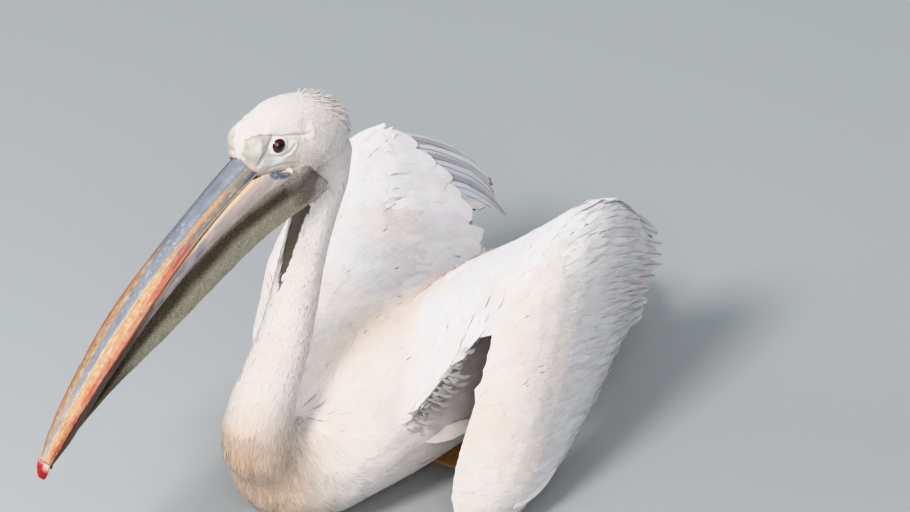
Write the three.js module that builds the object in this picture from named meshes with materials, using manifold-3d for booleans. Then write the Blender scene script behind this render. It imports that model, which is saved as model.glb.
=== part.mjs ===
// A great white pelican (Pelecanus onocrotalus) afloat, at life size: a cock in breeding plumage, with its belly
// down, its bill sloping in front of the neck and both wings half raised and folded.
//
// Millimetres, +Z up. The bird faces -Y and its left side is +X. The origin is the middle of the flat under the belly.
// Every solid is out to the tips of its feathers. Lengths along a piece run from 0 to 1 unless they are in millimetres.

import * as THREE from "three";
import { mergeVertices } from "three/addons/utils/BufferGeometryUtils.js";
import Module from "manifold-3d";

const wasm = await Module();
wasm.setup();

// ---- driving dimensions ----

const GAP = 0.4; // clearance between neighbouring pieces

const TRUNK = { front: -250, length: 560, segments: 24, rings: 15 };

const NECK = { segments: 18, joints: [0, 0.34, 0.62, 1], ringsPerLength: 6 };

const BILL = {
  length: 408, // culmen, from the feathering to the tip
  pitch: -43.3, // degrees below level
  yaw: -4.8, // degrees, towards the bird's right
  base: [0, -249, 505], // where the culmen leaves the forehead
  arch: 19, // how far the middle stands above the straight line from base to tip
  sweep: -7, // how far the middle stands to the left of that line
  rings: 15,
  segments: 14,
  root: 14, // how far the horn runs on inside the head
  nailLength: 17,
};

const HEAD = { length: 150, skullDip: 30, rings: 15, segments: 24 };

const EYE = { radius: 11, side: 29.5, back: 41.5, drop: -14.5, sunk: 8.2 };

const WING = {
  featherEdge: 5, // thickness at the feather tips
  scallop: 9, // how far a feather tip stands past the notch beside it
  steps: 8, // along a feather
  shoulder: [0, -110, 185], // the point each wing turns about
};

// The left wing is as the ribs say. The right one is lowered by turn (degrees) and stretched, its wrist is folded back
// and lifted and tucked against the neck, its elbow is hunched forward, its long feathers leave from a step below the
// coverts, and those beside the back end short by trim, a part of their length.
const WINGS = [
  { side: "left", sign: 1, turn: 0, stretch: 1, fold: 0, lift: 0, tuck: 0, hunch: 0, step: 0, trim: 0 },
  { side: "right", sign: -1, turn: 7, stretch: 1.06, fold: 46, lift: 32, tuck: 15, hunch: 56, step: 16, trim: 0.12 },
];

const TAIL = { length: 132, rings: 7, spread: 16, dip: 10 };

const FOOT = { length: 118, shank: 96, tarsus: 19, web: 6, heel: [66, 105] };

const COLOURS = {
  plumage: 0xf3ebe6,
  breast: 0xdcc09a,
  flightFeathers: 0x3b3a3d,
  face: 0xe6dccb,
  horn: 0xb5b6bd,
  billSides: 0xd9a877,
  nail: 0xb01f24,
  pouch: 0x8f8a70,
  iris: 0x4a1712,
  leg: 0xd8a489,
};

// ---- helpers: smooth profiles, lofted solids and cuts ----

const lerp = THREE.MathUtils.lerp;
const clamp = THREE.MathUtils.clamp;
const smoothstep = THREE.MathUtils.smoothstep;
const radians = THREE.MathUtils.degToRad;
const vec = (x, y, z) => new THREE.Vector3(x, y, z);

// A smooth curve through [place, value] stations, as a function of the place.
function profile(stations) {
  const slope = (i) => {
    const a = stations[Math.max(i - 1, 0)];
    const b = stations[Math.min(i + 1, stations.length - 1)];
    return (b[1] - a[1]) / (b[0] - a[0]);
  };
  return (place) => {
    const x = clamp(place, stations[0][0], stations.at(-1)[0]);
    let i = 0;
    while (i < stations.length - 2 && x > stations[i + 1][0]) i += 1;
    const [x0, y0] = stations[i];
    const [x1, y1] = stations[i + 1];
    const span = x1 - x0;
    const t = (x - x0) / span;
    const h = t * t * (3 - 2 * t);
    const rise = span * (t * (1 - t) * (1 - t) * slope(i) - t * t * (1 - t) * slope(i + 1));
    return lerp(y0, y1, h) + rise;
  };
}

// A rounded outline of n points: half-width w, from low to high, with its widest level between them.
function roundSection(n, { w, low, high, level = 0.5, power = 2, lowPower = power }) {
  const middle = lerp(low, high, level);
  return Array.from({ length: n }, (_, i) => {
    const angle = (2 * Math.PI * i) / n;
    const c = Math.cos(angle);
    const s = Math.sin(angle);
    const p = s < 0 ? lowPower : power;
    const x = w * Math.sign(c) * Math.abs(c) ** (2 / p);
    const up = Math.sign(s) * Math.abs(s) ** (2 / p);
    return [x, middle + up * (s < 0 ? middle - low : high - middle)];
  });
}

function facingOut(geometry) {
  const p = geometry.getAttribute("position");
  const index = geometry.index.array;
  const [a, b, c] = [vec(), vec(), vec()];
  let volume = 0;
  for (let i = 0; i < index.length; i += 3) {
    a.fromBufferAttribute(p, index[i]);
    b.fromBufferAttribute(p, index[i + 1]);
    c.fromBufferAttribute(p, index[i + 2]);
    volume += a.dot(b.cross(c));
  }
  if (volume < 0) for (let i = 0; i < index.length; i += 3) [index[i], index[i + 1]] = [index[i + 1], index[i]];
  return geometry;
}

function geometryOf(points, triangles) {
  const geometry = new THREE.BufferGeometry();
  geometry.setAttribute("position", new THREE.Float32BufferAttribute(points.flatMap((p) => p.toArray()), 3));
  geometry.setIndex(triangles);
  return facingOut(geometry);
}

// A closed solid through rings of equal length. Each end is closed straight across, between facing points.
function loft(rings) {
  const n = rings[0].length;
  const points = rings.flat();
  const triangles = [];
  for (let r = 0; r < rings.length - 1; r += 1) {
    for (let i = 0; i < n; i += 1) {
      const [a, b] = [r * n + i, r * n + ((i + 1) % n)];
      triangles.push(a, b, b + n, a, b + n, a + n);
    }
  }
  const cap = (first, flip) => {
    for (let i = 0; i < n / 2; i += 1) {
      const [a, b] = [first + i, first + i + 1];
      const [c, d] = [first + ((n - i) % n), first + n - i - 1];
      if (i > 0) triangles.push(...(flip ? [c, b, a] : [a, b, c]));
      if (b !== d) triangles.push(...(flip ? [c, d, b] : [b, d, c]));
    }
  };
  cap(0, true);
  cap((rings.length - 1) * n, false);
  return geometryOf(points, triangles);
}

// A closed shell under a curved patch: point(u, v) is its outer face and depth(u, v) how thick it is there.
function shell(point, depth, nu, nv) {
  const STEP = 1e-3;
  const outer = [];
  const inner = [];
  for (let j = 0; j <= nv; j += 1) {
    for (let i = 0; i <= nu; i += 1) {
      const [u, v] = [i / nu, j / nv];
      const along = point(Math.min(u + STEP, 1), v).sub(point(Math.max(u - STEP, 0), v));
      const across = point(u, Math.min(v + STEP, 1)).sub(point(u, Math.max(v - STEP, 0)));
      const normal = across.cross(along).normalize();
      const p = point(u, v);
      outer.push(p);
      inner.push(p.clone().addScaledVector(normal, -depth(u, v)));
    }
  }
  const m = nu + 1;
  const total = outer.length;
  const triangles = [];
  for (let j = 0; j < nv; j += 1) {
    for (let i = 0; i < nu; i += 1) {
      const a = j * m + i;
      triangles.push(a, a + 1, a + m + 1, a, a + m + 1, a + m);
      const b = a + total;
      triangles.push(b, b + m + 1, b + 1, b, b + m, b + m + 1);
    }
  }
  const rim = (a, b) => triangles.push(a, b + total, b, a, a + total, b + total);
  for (let i = 0; i < nu; i += 1) {
    rim(i, i + 1);
    rim(nv * m + i + 1, nv * m + i);
  }
  for (let j = 0; j < nv; j += 1) {
    rim((j + 1) * m, j * m);
    rim(j * m + nu, (j + 1) * m + nu);
  }
  return geometryOf([...outer, ...inner], triangles);
}

function welded(geometry) {
  const bare = geometry.clone();
  bare.deleteAttribute("normal");
  bare.deleteAttribute("uv");
  return mergeVertices(bare, 1e-3);
}

function solid(geometry) {
  const g = welded(geometry);
  const mesh = new wasm.Mesh({
    numProp: 3,
    vertProperties: new Float32Array(g.attributes.position.array),
    triVerts: new Uint32Array(g.index.array),
  });
  return new wasm.Manifold(mesh);
}

// The same surface moved out by the clearance.
function swollen(geometry) {
  const g = welded(geometry);
  g.computeVertexNormals();
  const p = g.attributes.position;
  const n = g.attributes.normal;
  for (let i = 0; i < p.count; i += 1) {
    p.setXYZ(i, p.getX(i) + GAP * n.getX(i), p.getY(i) + GAP * n.getY(i), p.getZ(i) + GAP * n.getZ(i));
  }
  return g;
}

// What is left of a piece once its neighbours, with their clearance, are taken away.
function cutBy(geometry, neighbours) {
  let left = solid(geometry);
  for (const neighbour of neighbours) left = left.subtract(solid(swollen(neighbour)));
  const largest = left.decompose().sort((a, b) => b.volume() - a.volume())[0];
  const mesh = largest.getMesh();
  const out = new THREE.BufferGeometry();
  out.setAttribute("position", new THREE.Float32BufferAttribute(Array.from(mesh.vertProperties), 3));
  out.setIndex(Array.from(mesh.triVerts));
  return out;
}

// ---- trunk: breast, belly, back and rump ----

function trunk() {
  const { front, length, segments, rings } = TRUNK;
  const halfWidth = profile([[0, 0], [0.1, 47], [0.25, 90], [0.4, 115], [0.55, 108], [0.7, 100], [0.85, 62], [1, 4]]);
  const top = profile([[-250, 66], [-190, 100], [-150, 140], [-90, 180], [20, 188], [150, 178], [240, 148], [310, 106]]);
  const bottom = profile([[-250, 58], [-238, 27], [-200, 7], [-140, 0], [150, 0], [215, 14], [270, 52], [310, 100]]);
  const flat = Array.from({ length: rings + 1 }, (_, r) => {
    const t = clamp(r / rings, 0.004, 0.996);
    const y = front + (length * (1 - Math.cos(Math.PI * t))) / 2;
    const low = bottom(y) - 4;
    const section = roundSection(segments, {
      w: Math.max(halfWidth(t), 2),
      low,
      high: Math.max(top(y), low + 6),
      level: 0.52,
      power: 2.3,
      lowPower: 2,
    });
    return section.map(([x, z]) => vec(x, y, Math.max(z, 0)));
  });
  return loft(flat);
}

// ---- neck: one curve from the breast to the back of the head, in three lengths ----

const neckLine = new THREE.CatmullRomCurve3(
  [
    [-160, 56], [-198, 80], [-222, 110], [-226, 143], [-203, 194], [-176, 248], [-151, 325],
    [-133, 373], [-114, 413], [-104, 447], [-116, 480], [-150, 497],
  ].map(([y, z]) => vec(0, y, z)),
  false,
  "centripetal",
);
const neckRadius = profile([[0, 40], [0.08, 47], [0.18, 44], [0.33, 34.5], [0.5, 28], [0.7, 24.5], [0.82, 26], [1, 31]]);

function neckLength(from, to) {
  const { segments, ringsPerLength } = NECK;
  const clearance = GAP / 2 / neckLine.getLength();
  const [start, end] = [from === 0 ? 0 : from + clearance, to === 1 ? 1 : to - clearance];
  const rings = Array.from({ length: ringsPerLength + 1 }, (_, r) => {
    const t = lerp(start, end, r / ringsPerLength);
    const centre = neckLine.getPointAt(t);
    const along = neckLine.getTangentAt(t);
    const up = vec(1, 0, 0).cross(along);
    const radius = neckRadius(t);
    return Array.from({ length: segments }, (_, i) => {
      const angle = (2 * Math.PI * i) / segments;
      return centre
        .clone()
        .addScaledVector(vec(1, 0, 0), radius * Math.cos(angle))
        .addScaledVector(up, radius * Math.sin(angle));
    });
  });
  return loft(rings);
}

// ---- head and bill, built level and then turned: -Y runs along the culmen to the tip ----

const headPose = new THREE.Matrix4()
  .makeRotationFromEuler(new THREE.Euler(radians(-BILL.pitch), 0, radians(BILL.yaw), "ZXY"))
  .setPosition(...BILL.base);
const posed = (geometry) => geometry.applyMatrix4(headPose);

function head() {
  const { length, skullDip, rings, segments } = HEAD;
  const axis = vec(0, Math.cos(radians(skullDip)), -Math.sin(radians(skullDip)));
  const up = vec(0, Math.sin(radians(skullDip)), Math.cos(radians(skullDip)));
  const start = vec(0, -3, -12);
  const top = profile([
    [0, 14], [5, 34], [14, 48.5], [27, 53], [38, 52], [54, 51.5], [68, 50.5], [85, 46.5], [110, 33], [135, 10], [150, -20],
  ]);
  const bottom = profile([[0, -8], [20, -20], [44, -34], [70, -50], [100, -60], [130, -56], [150, -38]]);
  const halfWidth = profile([[0, 18], [7, 25], [22, 28.5], [45, 32], [70, 34], [95, 33], [120, 28], [140, 18], [150, 6]]);
  const sections = Array.from({ length: rings + 1 }, (_, r) => {
    const t = (length * (1 - Math.cos((Math.PI * r) / rings))) / 2;
    const section = roundSection(segments, {
      w: halfWidth(t),
      low: bottom(t),
      high: top(t),
      level: 0.45,
      power: 2.1,
      lowPower: 2.3,
    });
    return section.map(([x, q]) => vec(x, 0, 0).add(start).addScaledVector(axis, t).addScaledVector(up, q));
  });
  return posed(loft(sections));
}

// The bill bows a little: what is built straight is moved by this much at each place along it.
function bowed(x, t, z) {
  const bow = 4 * t * (1 - t);
  return vec(x + BILL.sweep * bow, -t * BILL.length, z + BILL.arch * bow);
}

const billHalfWidth = profile([[0, 21], [0.2, 19.5], [0.34, 21.5], [0.55, 24], [0.69, 20.5], [0.82, 16.5], [0.93, 11.5], [1, 5]]);
const billDepth = profile([[0, 19], [0.2, 16], [0.5, 12], [0.8, 9], [0.95, 8], [1, 7]]);
const billRidge = profile([[0, 0], [0.3, -1.5], [0.6, -2], [0.9, 0.5], [1, -2]]);

function upperBill() {
  const { length, root, rings, segments, nailLength } = BILL;
  const last = 1 - nailLength / length;
  const sections = Array.from({ length: rings + 1 }, (_, r) => {
    const t = lerp(-root / length, last, r / rings);
    const ridge = billRidge(t);
    const section = roundSection(segments, {
      w: billHalfWidth(t),
      low: ridge - billDepth(t),
      high: ridge,
      level: 0.15,
      power: 1.8,
      lowPower: 3,
    });
    return section.map(([x, z]) => bowed(x, t, z));
  });
  return posed(loft(sections));
}

function nail() {
  const { length, nailLength, segments } = BILL;
  const rings = 6;
  const sections = Array.from({ length: rings + 1 }, (_, r) => {
    const s = Math.sin((Math.PI / 2) * (r / rings));
    const t = (length - nailLength + GAP + (nailLength - GAP) * s) / length;
    const shrink = Math.sqrt(Math.max(1 - s * s, 0.02));
    const section = roundSection(segments, { w: 9.5 * shrink, low: -9 - 7 * s, high: -1 - 5 * s * s, power: 2 });
    return section.map(([x, z]) => bowed(x, t, z));
  });
  return posed(loft(sections));
}

// The two rods of the lower jaw, which meet near the tip.
const jawSide = profile([[-0.07, 35], [0.05, 30], [0.2, 22], [0.45, 19], [0.7, 17], [0.9, 11], [0.97, 2]]);
const jawTop = profile([[-0.07, -38], [0, -24], [0.15, -19.5], [0.4, -16], [0.7, -13], [0.97, -11]]);
const jawDepth = profile([[-0.07, 15], [0.05, 21], [0.3, 17], [0.6, 11], [0.97, 6]]);

function jawRod(sign) {
  const rings = 12;
  const sections = Array.from({ length: rings + 1 }, (_, r) => {
    const t = lerp(-0.07, 0.965, r / rings);
    const high = jawTop(t) - 1.2;
    const section = roundSection(8, { w: lerp(4.6, 3, t), low: high - jawDepth(t), high, power: 2.4 });
    return section.map(([x, z]) => bowed(sign * (jawSide(t) + x * sign - 4), t, z));
  });
  return loft(sections);
}

function lowerBill() {
  const joined = solid(jawRod(1)).add(solid(jawRod(-1)));
  const mesh = joined.getMesh();
  const out = new THREE.BufferGeometry();
  out.setAttribute("position", new THREE.Float32BufferAttribute(Array.from(mesh.vertProperties), 3));
  out.setIndex(Array.from(mesh.triVerts));
  return posed(out);
}

function pouch() {
  const keel = profile([[-0.1, -148], [-0.04, -142], [0.1, -122], [0.3, -107], [0.5, -86], [0.7, -52], [0.86, -27]]);
  const rings = 13;
  const sections = Array.from({ length: rings + 1 }, (_, r) => {
    const t = lerp(-0.1, 0.86, r / rings);
    const high = jawTop(t) - jawDepth(t) * 0.55;
    const low = Math.min(keel(t), high - 5);
    const section = roundSection(14, { w: Math.max(jawSide(t) - 5, 3), low, high, level: 0.82, power: 2.6, lowPower: 1.5 });
    return section.map(([x, z]) => bowed(x, t, z));
  });
  return posed(loft(sections));
}

function eye(sign) {
  const ball = new THREE.SphereGeometry(EYE.radius, 12, 9);
  ball.translate(sign * (EYE.side - EYE.sunk), EYE.back, EYE.drop);
  return posed(ball);
}

// ---- wings ----
// Each rib runs with the feathers, from the front edge over the middle to a feather tip. The ribs go from the
// scapulars beside the spine, over the raised elbow, and down the forearm to the wrist.

const RIBS = [
  { front: [7, -160, 104], middle: [6, 35, 196], tip: [5, 176, 184] },
  { front: [48, -150, 92], middle: [46, 72, 224], tip: [46, 214, 200] },
  { front: [98, -104, 116], middle: [106, 112, 284], tip: [96, 268, 190] },
  { front: [130, -44, 186], middle: [158, 140, 329], tip: [130, 290, 216] },
  { front: [150, 0, 228], middle: [190, 120, 286], tip: [146, 304, 186] },
  { front: [160, -16, 206], middle: [206, 86, 216], tip: [140, 284, 126] },
  { front: [168, -44, 162], middle: [219, 48, 152], tip: [142, 240, 84] },
  { front: [170, -70, 108], middle: [226, 9, 94], tip: [162, 166, 48] },
  { front: [172, -88, 58], middle: [228, -30, 48], tip: [190, 84, 30] },
  { front: [182, -90, 22], middle: [212, -50, 12], tip: [202, -2, 16] },
];

// The wing's outer face: u runs from the front edge to the tips, and rib from the spine to the wrist.
function wingFace(wing, u, rib) {
  const i = clamp(Math.floor(rib), 0, RIBS.length - 2);
  const t = rib - i;
  const blend = (key) => {
    const at = (k) => vec(...RIBS[clamp(k, 0, RIBS.length - 1)][key]);
    const [p0, p1, p2, p3] = [at(i - 1), at(i), at(i + 1), at(i + 2)];
    return new THREE.CatmullRomCurve3([p0, p1, p2, p3], false, "catmullrom", 0.5).getPoint((1 + t) / 3);
  };
  const [front, middle, tip] = [blend("front"), blend("middle"), blend("tip")];
  const control = middle.multiplyScalar(2).addScaledVector(front, -0.5).addScaledVector(tip, -0.5);
  control.y -= wing.hunch * smoothstep(rib, 0, 2.5) * (1 - smoothstep(rib, 4.5, 7));
  const point = new THREE.QuadraticBezierCurve3(front, control, tip).getPoint(u);
  point.z -= wing.step * smoothstep(u, 0.48, 0.62) * (1 - smoothstep(u, 0.75, 1));
  return point;
}

// Lowers a wing about its shoulder, folds its wrist back and sets it on its own side.
function onSide(wing, point, rib) {
  const pivot = vec(...WING.shoulder);
  point.sub(pivot).applyAxisAngle(vec(1, 0, 0), -radians(wing.turn));
  point.y *= wing.stretch;
  point.z *= wing.stretch;
  point.add(pivot);
  const distal = smoothstep(rib, 3.5, 9);
  point.y += wing.fold * distal + wing.tuck * smoothstep(rib, 6, 8);
  point.z += wing.lift * distal;
  point.x *= wing.sign;
  return point;
}

function wingShell(wing, { from, to, depth, tips }) {
  const point = (u, v) => {
    const rib = lerp(from, to, v);
    const lobe = Math.abs(Math.sin(Math.PI * v * tips));
    const short = wing.trim * (1 - smoothstep(rib, 1.7, 2.3));
    const reach = 1 - short + (WING.scallop / 250) * (lobe - 0.6) * u ** 6;
    return onSide(wing, wingFace(wing, u * reach, rib), rib);
  };
  const thick = (u, v) => {
    const swell = Math.sqrt(u) * (1 - u) ** 1.6 * 2.3;
    return wing.sign * (WING.featherEdge + depth(v) * swell);
  };
  return shell(point, thick, WING.steps, 2 * tips);
}

function upperArm(wing) {
  const depth = profile([[0, 8], [0.5, 16], [1, 30]]);
  return wingShell(wing, { from: 0, to: 3.45, depth, tips: 6 });
}

function forearm(wing) {
  const depth = profile([[0, 30], [0.5, 36], [0.85, 34], [1, 16]]);
  return wingShell(wing, { from: 3.5, to: 9, depth, tips: 7 });
}

// The hand with the primaries, folded back along the flank and over the rump.
function hand(wing) {
  const line = new THREE.CatmullRomCurve3(
    [vec(184, -48, 60), vec(172, 50, 88), vec(134, 160, 110), vec(72, 268, 122), vec(2, 368, 128)],
    false,
    "centripetal",
  );
  const height = profile([[0, 22], [0.12, 30], [0.4, 34], [0.75, 24], [1, 7]]);
  const halfDepth = profile([[0, 9], [0.15, 11], [0.35, 6], [0.8, 3.5], [1, 2]]);
  const rings = 11;
  const sections = Array.from({ length: rings + 1 }, (_, r) => {
    const t = r / rings;
    const centre = line.getPointAt(t);
    const along = line.getTangentAt(t);
    const flatten = lerp(0, 62, smoothstep(t, 0.3, 0.85));
    const up = vec(0, 0, 1).addScaledVector(along, -along.z).normalize();
    const side = along.clone().cross(up).normalize();
    up.applyAxisAngle(along, radians(flatten));
    side.applyAxisAngle(along, radians(flatten));
    const section = roundSection(10, { w: halfDepth(t), low: -height(t), high: height(t), power: 2 });
    return section.map(([x, z]) =>
      onSide(wing, centre.clone().addScaledVector(side, x).addScaledVector(up, z), lerp(9, 5, t)),
    );
  });
  return loft(sections);
}

// ---- tail: a short rounded fan ----

function tail() {
  const { length, rings, spread, dip } = TAIL;
  const root = vec(0, 268, 100);
  const segments = 20;
  const sections = Array.from({ length: rings + 1 }, (_, r) => {
    const t = r / rings;
    return Array.from({ length: segments }, (_, i) => {
      const angle = (2 * Math.PI * i) / segments;
      const across = Math.cos(angle);
      const sweep = radians(spread) * across * t;
      const reach = length * t * (1 - 0.1 * across * across);
      const halfThick = lerp(13, 3, Math.sqrt(t)) * (0.35 + 0.65 * Math.sqrt(1 - across * across));
      const x = 27 * across + reach * Math.sin(sweep);
      const y = root.y + reach * Math.cos(sweep);
      const arch = -7 * across * across - reach * Math.tan(radians(dip));
      return vec(x, y, root.z + arch + halfThick * Math.sin(angle));
    });
  });
  return loft(sections);
}

// ---- feet, tucked under the belly ----

const toeAngles = [-34, -6, 22, 62];

function foot(sign) {
  const { length, web, heel } = FOOT;
  const steps = 26;
  const reach = (degrees) => {
    const toes = [0.74, 1, 0.93, 0.5];
    const near = toeAngles.map((a, i) => toes[i] * Math.exp(-(((degrees - a) / 9) ** 2)));
    const webbing = profile([[-40, 0.62], [-20, 0.76], [8, 0.84], [40, 0.62], [68, 0.36]]);
    return length * Math.max(webbing(degrees), ...near);
  };
  const outline = [[-9, 10], [9, 10]];
  for (let i = 0; i <= steps; i += 1) {
    const degrees = lerp(-40, 68, i / steps);
    const r = reach(degrees);
    outline.push([-Math.sin(radians(degrees)) * r, -Math.cos(radians(degrees)) * r]);
  }
  const [x, y] = heel;
  const shape = new THREE.Shape(outline.map(([u, v]) => new THREE.Vector2(sign * (x - u), y + v)));
  return new THREE.ExtrudeGeometry(shape, { depth: web, bevelEnabled: false });
}

function shank(sign) {
  const { tarsus, heel } = FOOT;
  const rings = 7;
  const sections = Array.from({ length: rings + 1 }, (_, r) => {
    const t = r / rings;
    const bulge = 1 + 0.28 * Math.exp(-(((t - 0.92) / 0.12) ** 2)) + 0.22 * Math.exp(-(((t - 0.04) / 0.1) ** 2));
    const w = (tarsus / 2) * 0.72 * bulge;
    const section = roundSection(10, { w, low: 0, high: tarsus * bulge, power: 2.4 });
    const y = heel[1] + 11 + FOOT.shank * t;
    return section.map(([x, z]) => vec(sign * (heel[0] - 8 * t) + x, y, Math.max(z, 0)));
  });
  return loft(sections);
}

// ---- the bird ----

const pelican = new THREE.Group();

function add(name, geometry, color, roughness = 0.8) {
  const mesh = new THREE.Mesh(geometry, new THREE.MeshStandardMaterial({ color, roughness, metalness: 0 }));
  mesh.name = name;
  pelican.add(mesh);
  return geometry;
}

const eyes = [eye(1), eye(-1)];
const billUpper = upperBill();
const billNail = nail();
const billLower = cutBy(lowerBill(), [billUpper, billNail]);
const skull = cutBy(head(), [...eyes, billUpper, billLower]);
add("eye_left", eyes[0], COLOURS.iris, 0.1);
add("eye_right", eyes[1], COLOURS.iris, 0.1);
add("bill_upper", billUpper, COLOURS.billSides, 0.4);
add("bill_nail", billNail, COLOURS.nail, 0.35);
add("bill_lower", billLower, COLOURS.horn, 0.4);
add("head", skull, COLOURS.face);

const feet = [1, -1].map((sign) => foot(sign));
const shanks = [1, -1].map((sign, i) => cutBy(shank(sign), [feet[i]]));
const body = cutBy(trunk(), [...feet, ...shanks]);
add("foot_left", feet[0], COLOURS.leg, 0.5);
add("foot_right", feet[1], COLOURS.leg, 0.5);
add("leg_left", shanks[0], COLOURS.leg, 0.5);
add("leg_right", shanks[1], COLOURS.leg, 0.5);
add("trunk", body, COLOURS.plumage);

const neckNames = ["neck_base", "neck_middle", "neck_upper"];
const neckBlockers = [[trunk()], [trunk()], [head()]];
const necks = neckNames.map((name, i) => {
  const piece = cutBy(neckLength(NECK.joints[i], NECK.joints[i + 1]), neckBlockers[i]);
  return add(name, piece, i === 0 ? COLOURS.breast : COLOURS.plumage);
});
add("pouch", cutBy(pouch(), [billUpper, billLower, head(), ...necks]), COLOURS.pouch, 0.6);

const tailFan = add("tail", cutBy(tail(), [trunk()]), COLOURS.plumage);
const fixed = [trunk(), tailFan];
for (const wing of WINGS) {
  const arm = cutBy(upperArm(wing), fixed);
  add(`wing_${wing.side}_arm`, arm, COLOURS.plumage);
  const lower = cutBy(forearm(wing), [...fixed, arm]);
  add(`wing_${wing.side}_forearm`, lower, COLOURS.plumage);
  const tipFan = cutBy(hand(wing), [...fixed, arm, lower]);
  add(`wing_${wing.side}_hand`, tipFan, COLOURS.flightFeathers);
  fixed.push(arm, lower, tipFan);
}

export default pelican;
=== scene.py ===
"""A great white pelican afloat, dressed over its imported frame.

One skin replaces the flesh. Joined feather vanes lie over it, walked along its surface from root to tip.
The bill, eyes, legs and flight feathers are pieces of their own. Metres, unless a comment says millimetres.
The bird faces -Y and its left side is +X.
"""

import math

import bmesh
import bpy
import numpy as np
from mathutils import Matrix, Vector
from mathutils.bvhtree import BVHTree
from mathutils.kdtree import KDTree


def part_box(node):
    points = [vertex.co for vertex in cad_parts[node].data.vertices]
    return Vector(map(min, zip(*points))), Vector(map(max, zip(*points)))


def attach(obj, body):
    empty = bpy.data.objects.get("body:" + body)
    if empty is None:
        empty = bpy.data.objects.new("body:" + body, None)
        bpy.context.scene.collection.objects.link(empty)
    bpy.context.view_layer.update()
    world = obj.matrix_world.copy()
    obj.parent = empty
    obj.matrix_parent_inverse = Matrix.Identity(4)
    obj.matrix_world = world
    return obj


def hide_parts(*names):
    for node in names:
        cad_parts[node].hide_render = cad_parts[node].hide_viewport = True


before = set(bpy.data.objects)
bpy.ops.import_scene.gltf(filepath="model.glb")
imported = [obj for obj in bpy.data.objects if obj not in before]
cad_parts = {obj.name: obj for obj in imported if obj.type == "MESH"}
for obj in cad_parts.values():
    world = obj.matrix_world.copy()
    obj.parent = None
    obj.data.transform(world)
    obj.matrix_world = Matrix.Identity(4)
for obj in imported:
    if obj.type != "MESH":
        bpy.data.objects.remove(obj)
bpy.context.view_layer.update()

MM = 0.001
RNG = np.random.default_rng(11)

# ---- camera ----

VIEW_AZIMUTH = math.radians(43)
VIEW_ELEVATION = math.radians(33)
VIEW_DISTANCE = 6.0
VIEW_WIDTH = 1.0706  # metres across the picture at the aim point
SENSOR = 36.0
AIM = np.array([0.0, 0.105, 0.2149])

# ---- head frame: x to the bird's left, b back from the culmen's base, g up from the culmen ----

BILL_PITCH = math.radians(43.3)
BILL_YAW = math.radians(-4.8)
BILL_LENGTH = 0.408
BILL_MM = 408  # the same in millimetres, for textures along it
BILL_ARCH = 0.019
BILL_SWEEP = -0.007
CULMEN_BASE = np.array([0.0, -0.249, 0.505])
HEAD_AXES = np.array(
    [
        [math.cos(BILL_YAW), math.sin(BILL_YAW), 0.0],
        [
            -math.sin(BILL_YAW) * math.cos(BILL_PITCH),
            math.cos(BILL_YAW) * math.cos(BILL_PITCH),
            math.sin(BILL_PITCH),
        ],
        [
            math.sin(BILL_YAW) * math.sin(BILL_PITCH),
            -math.cos(BILL_YAW) * math.sin(BILL_PITCH),
            math.cos(BILL_PITCH),
        ],
    ]
)

# ---- skin and coat ----

FLESH = (
    ["head", "neck_upper", "neck_middle", "neck_base", "trunk", "pouch"]
    + [f"wing_{side}_{part}" for side in ("left", "right") for part in ("arm", "forearm")]
)
SKIN_VOXEL = 3.4 * MM
GAP_CLOSING = 0.7 * MM
# How deep the skin lies under the outline, in millimetres.
COAT_DEPTH = {"head": 0.4, "neck": 1.0, "trunk": 2.0, "pouch": 0.0, "wing": 1.5}


# ======== small helpers ========


def unit(v):
    return v / np.maximum(np.linalg.norm(v, axis=-1, keepdims=True), 1e-12)


def smoothstep(low, high, x):
    t = np.clip((np.asarray(x, float) - low) / (high - low), 0.0, 1.0)
    return t * t * (3.0 - 2.0 * t)


def band(low, high, soft, x):
    """1 between low and high, falling to 0 over soft outside them."""
    return smoothstep(low - soft, low, x) * (1.0 - smoothstep(high, high + soft, x))


def blob(points, centre, radii):
    """A soft spot: 1 at the centre, about 0 beyond the radii."""
    q = (points - np.asarray(centre)) / np.asarray(radii)
    return np.exp(-(q**2).sum(-1) * 1.5)


def bell(x, width):
    """1 where x is 0, falling to nearly 0 at twice the width."""
    return np.exp(-((x / width) ** 2))


def mix(a, b, t):
    t = np.asarray(t, float)
    if t.ndim:
        t = t[..., None]
    return np.asarray(a) * (1.0 - t) + np.asarray(b) * t


def value_noise(points, scale, seed=0):
    """Smooth noise from -1 to 1, from a hashed lattice."""
    q = points / scale
    base = np.floor(q).astype(np.int64)
    f = q - base
    f = f * f * (3 - 2 * f)
    total = 0.0
    for corner in range(8):
        offset = np.array([corner & 1, corner >> 1 & 1, corner >> 2 & 1])
        key = (base + offset) @ np.array([73856093, 19349663, 83492791]) + seed * 7919
        key = (key ^ (key >> 13)) * 1274126177 & 0x7FFFFFFF
        value = (key % 65537) / 32768.0 - 1.0
        weight = np.prod(np.where(offset, f, 1 - f), axis=-1)
        total = total + weight * value
    return total


def to_head(points):
    """World points in the head frame, in millimetres: x left, b back, g up."""
    return (points - CULMEN_BASE) @ HEAD_AXES.T / MM


def from_head(coords):
    return CULMEN_BASE + (np.asarray(coords, float) * MM) @ HEAD_AXES


def points_of(mesh):
    co = np.empty(len(mesh.vertices) * 3, np.float32)
    mesh.vertices.foreach_get("co", co)
    return co.reshape(-1, 3).astype(float)


def normals_of(mesh):
    co = np.empty(len(mesh.vertices) * 3, np.float32)
    mesh.vertices.foreach_get("normal", co)
    return co.reshape(-1, 3).astype(float)


def edges_of(mesh):
    pairs = np.empty(len(mesh.edges) * 2, np.int32)
    mesh.edges.foreach_get("vertices", pairs)
    return pairs.reshape(-1, 2)


def set_points(mesh, points):
    mesh.vertices.foreach_set("co", points.astype(np.float32).ravel())
    mesh.update()


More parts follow.
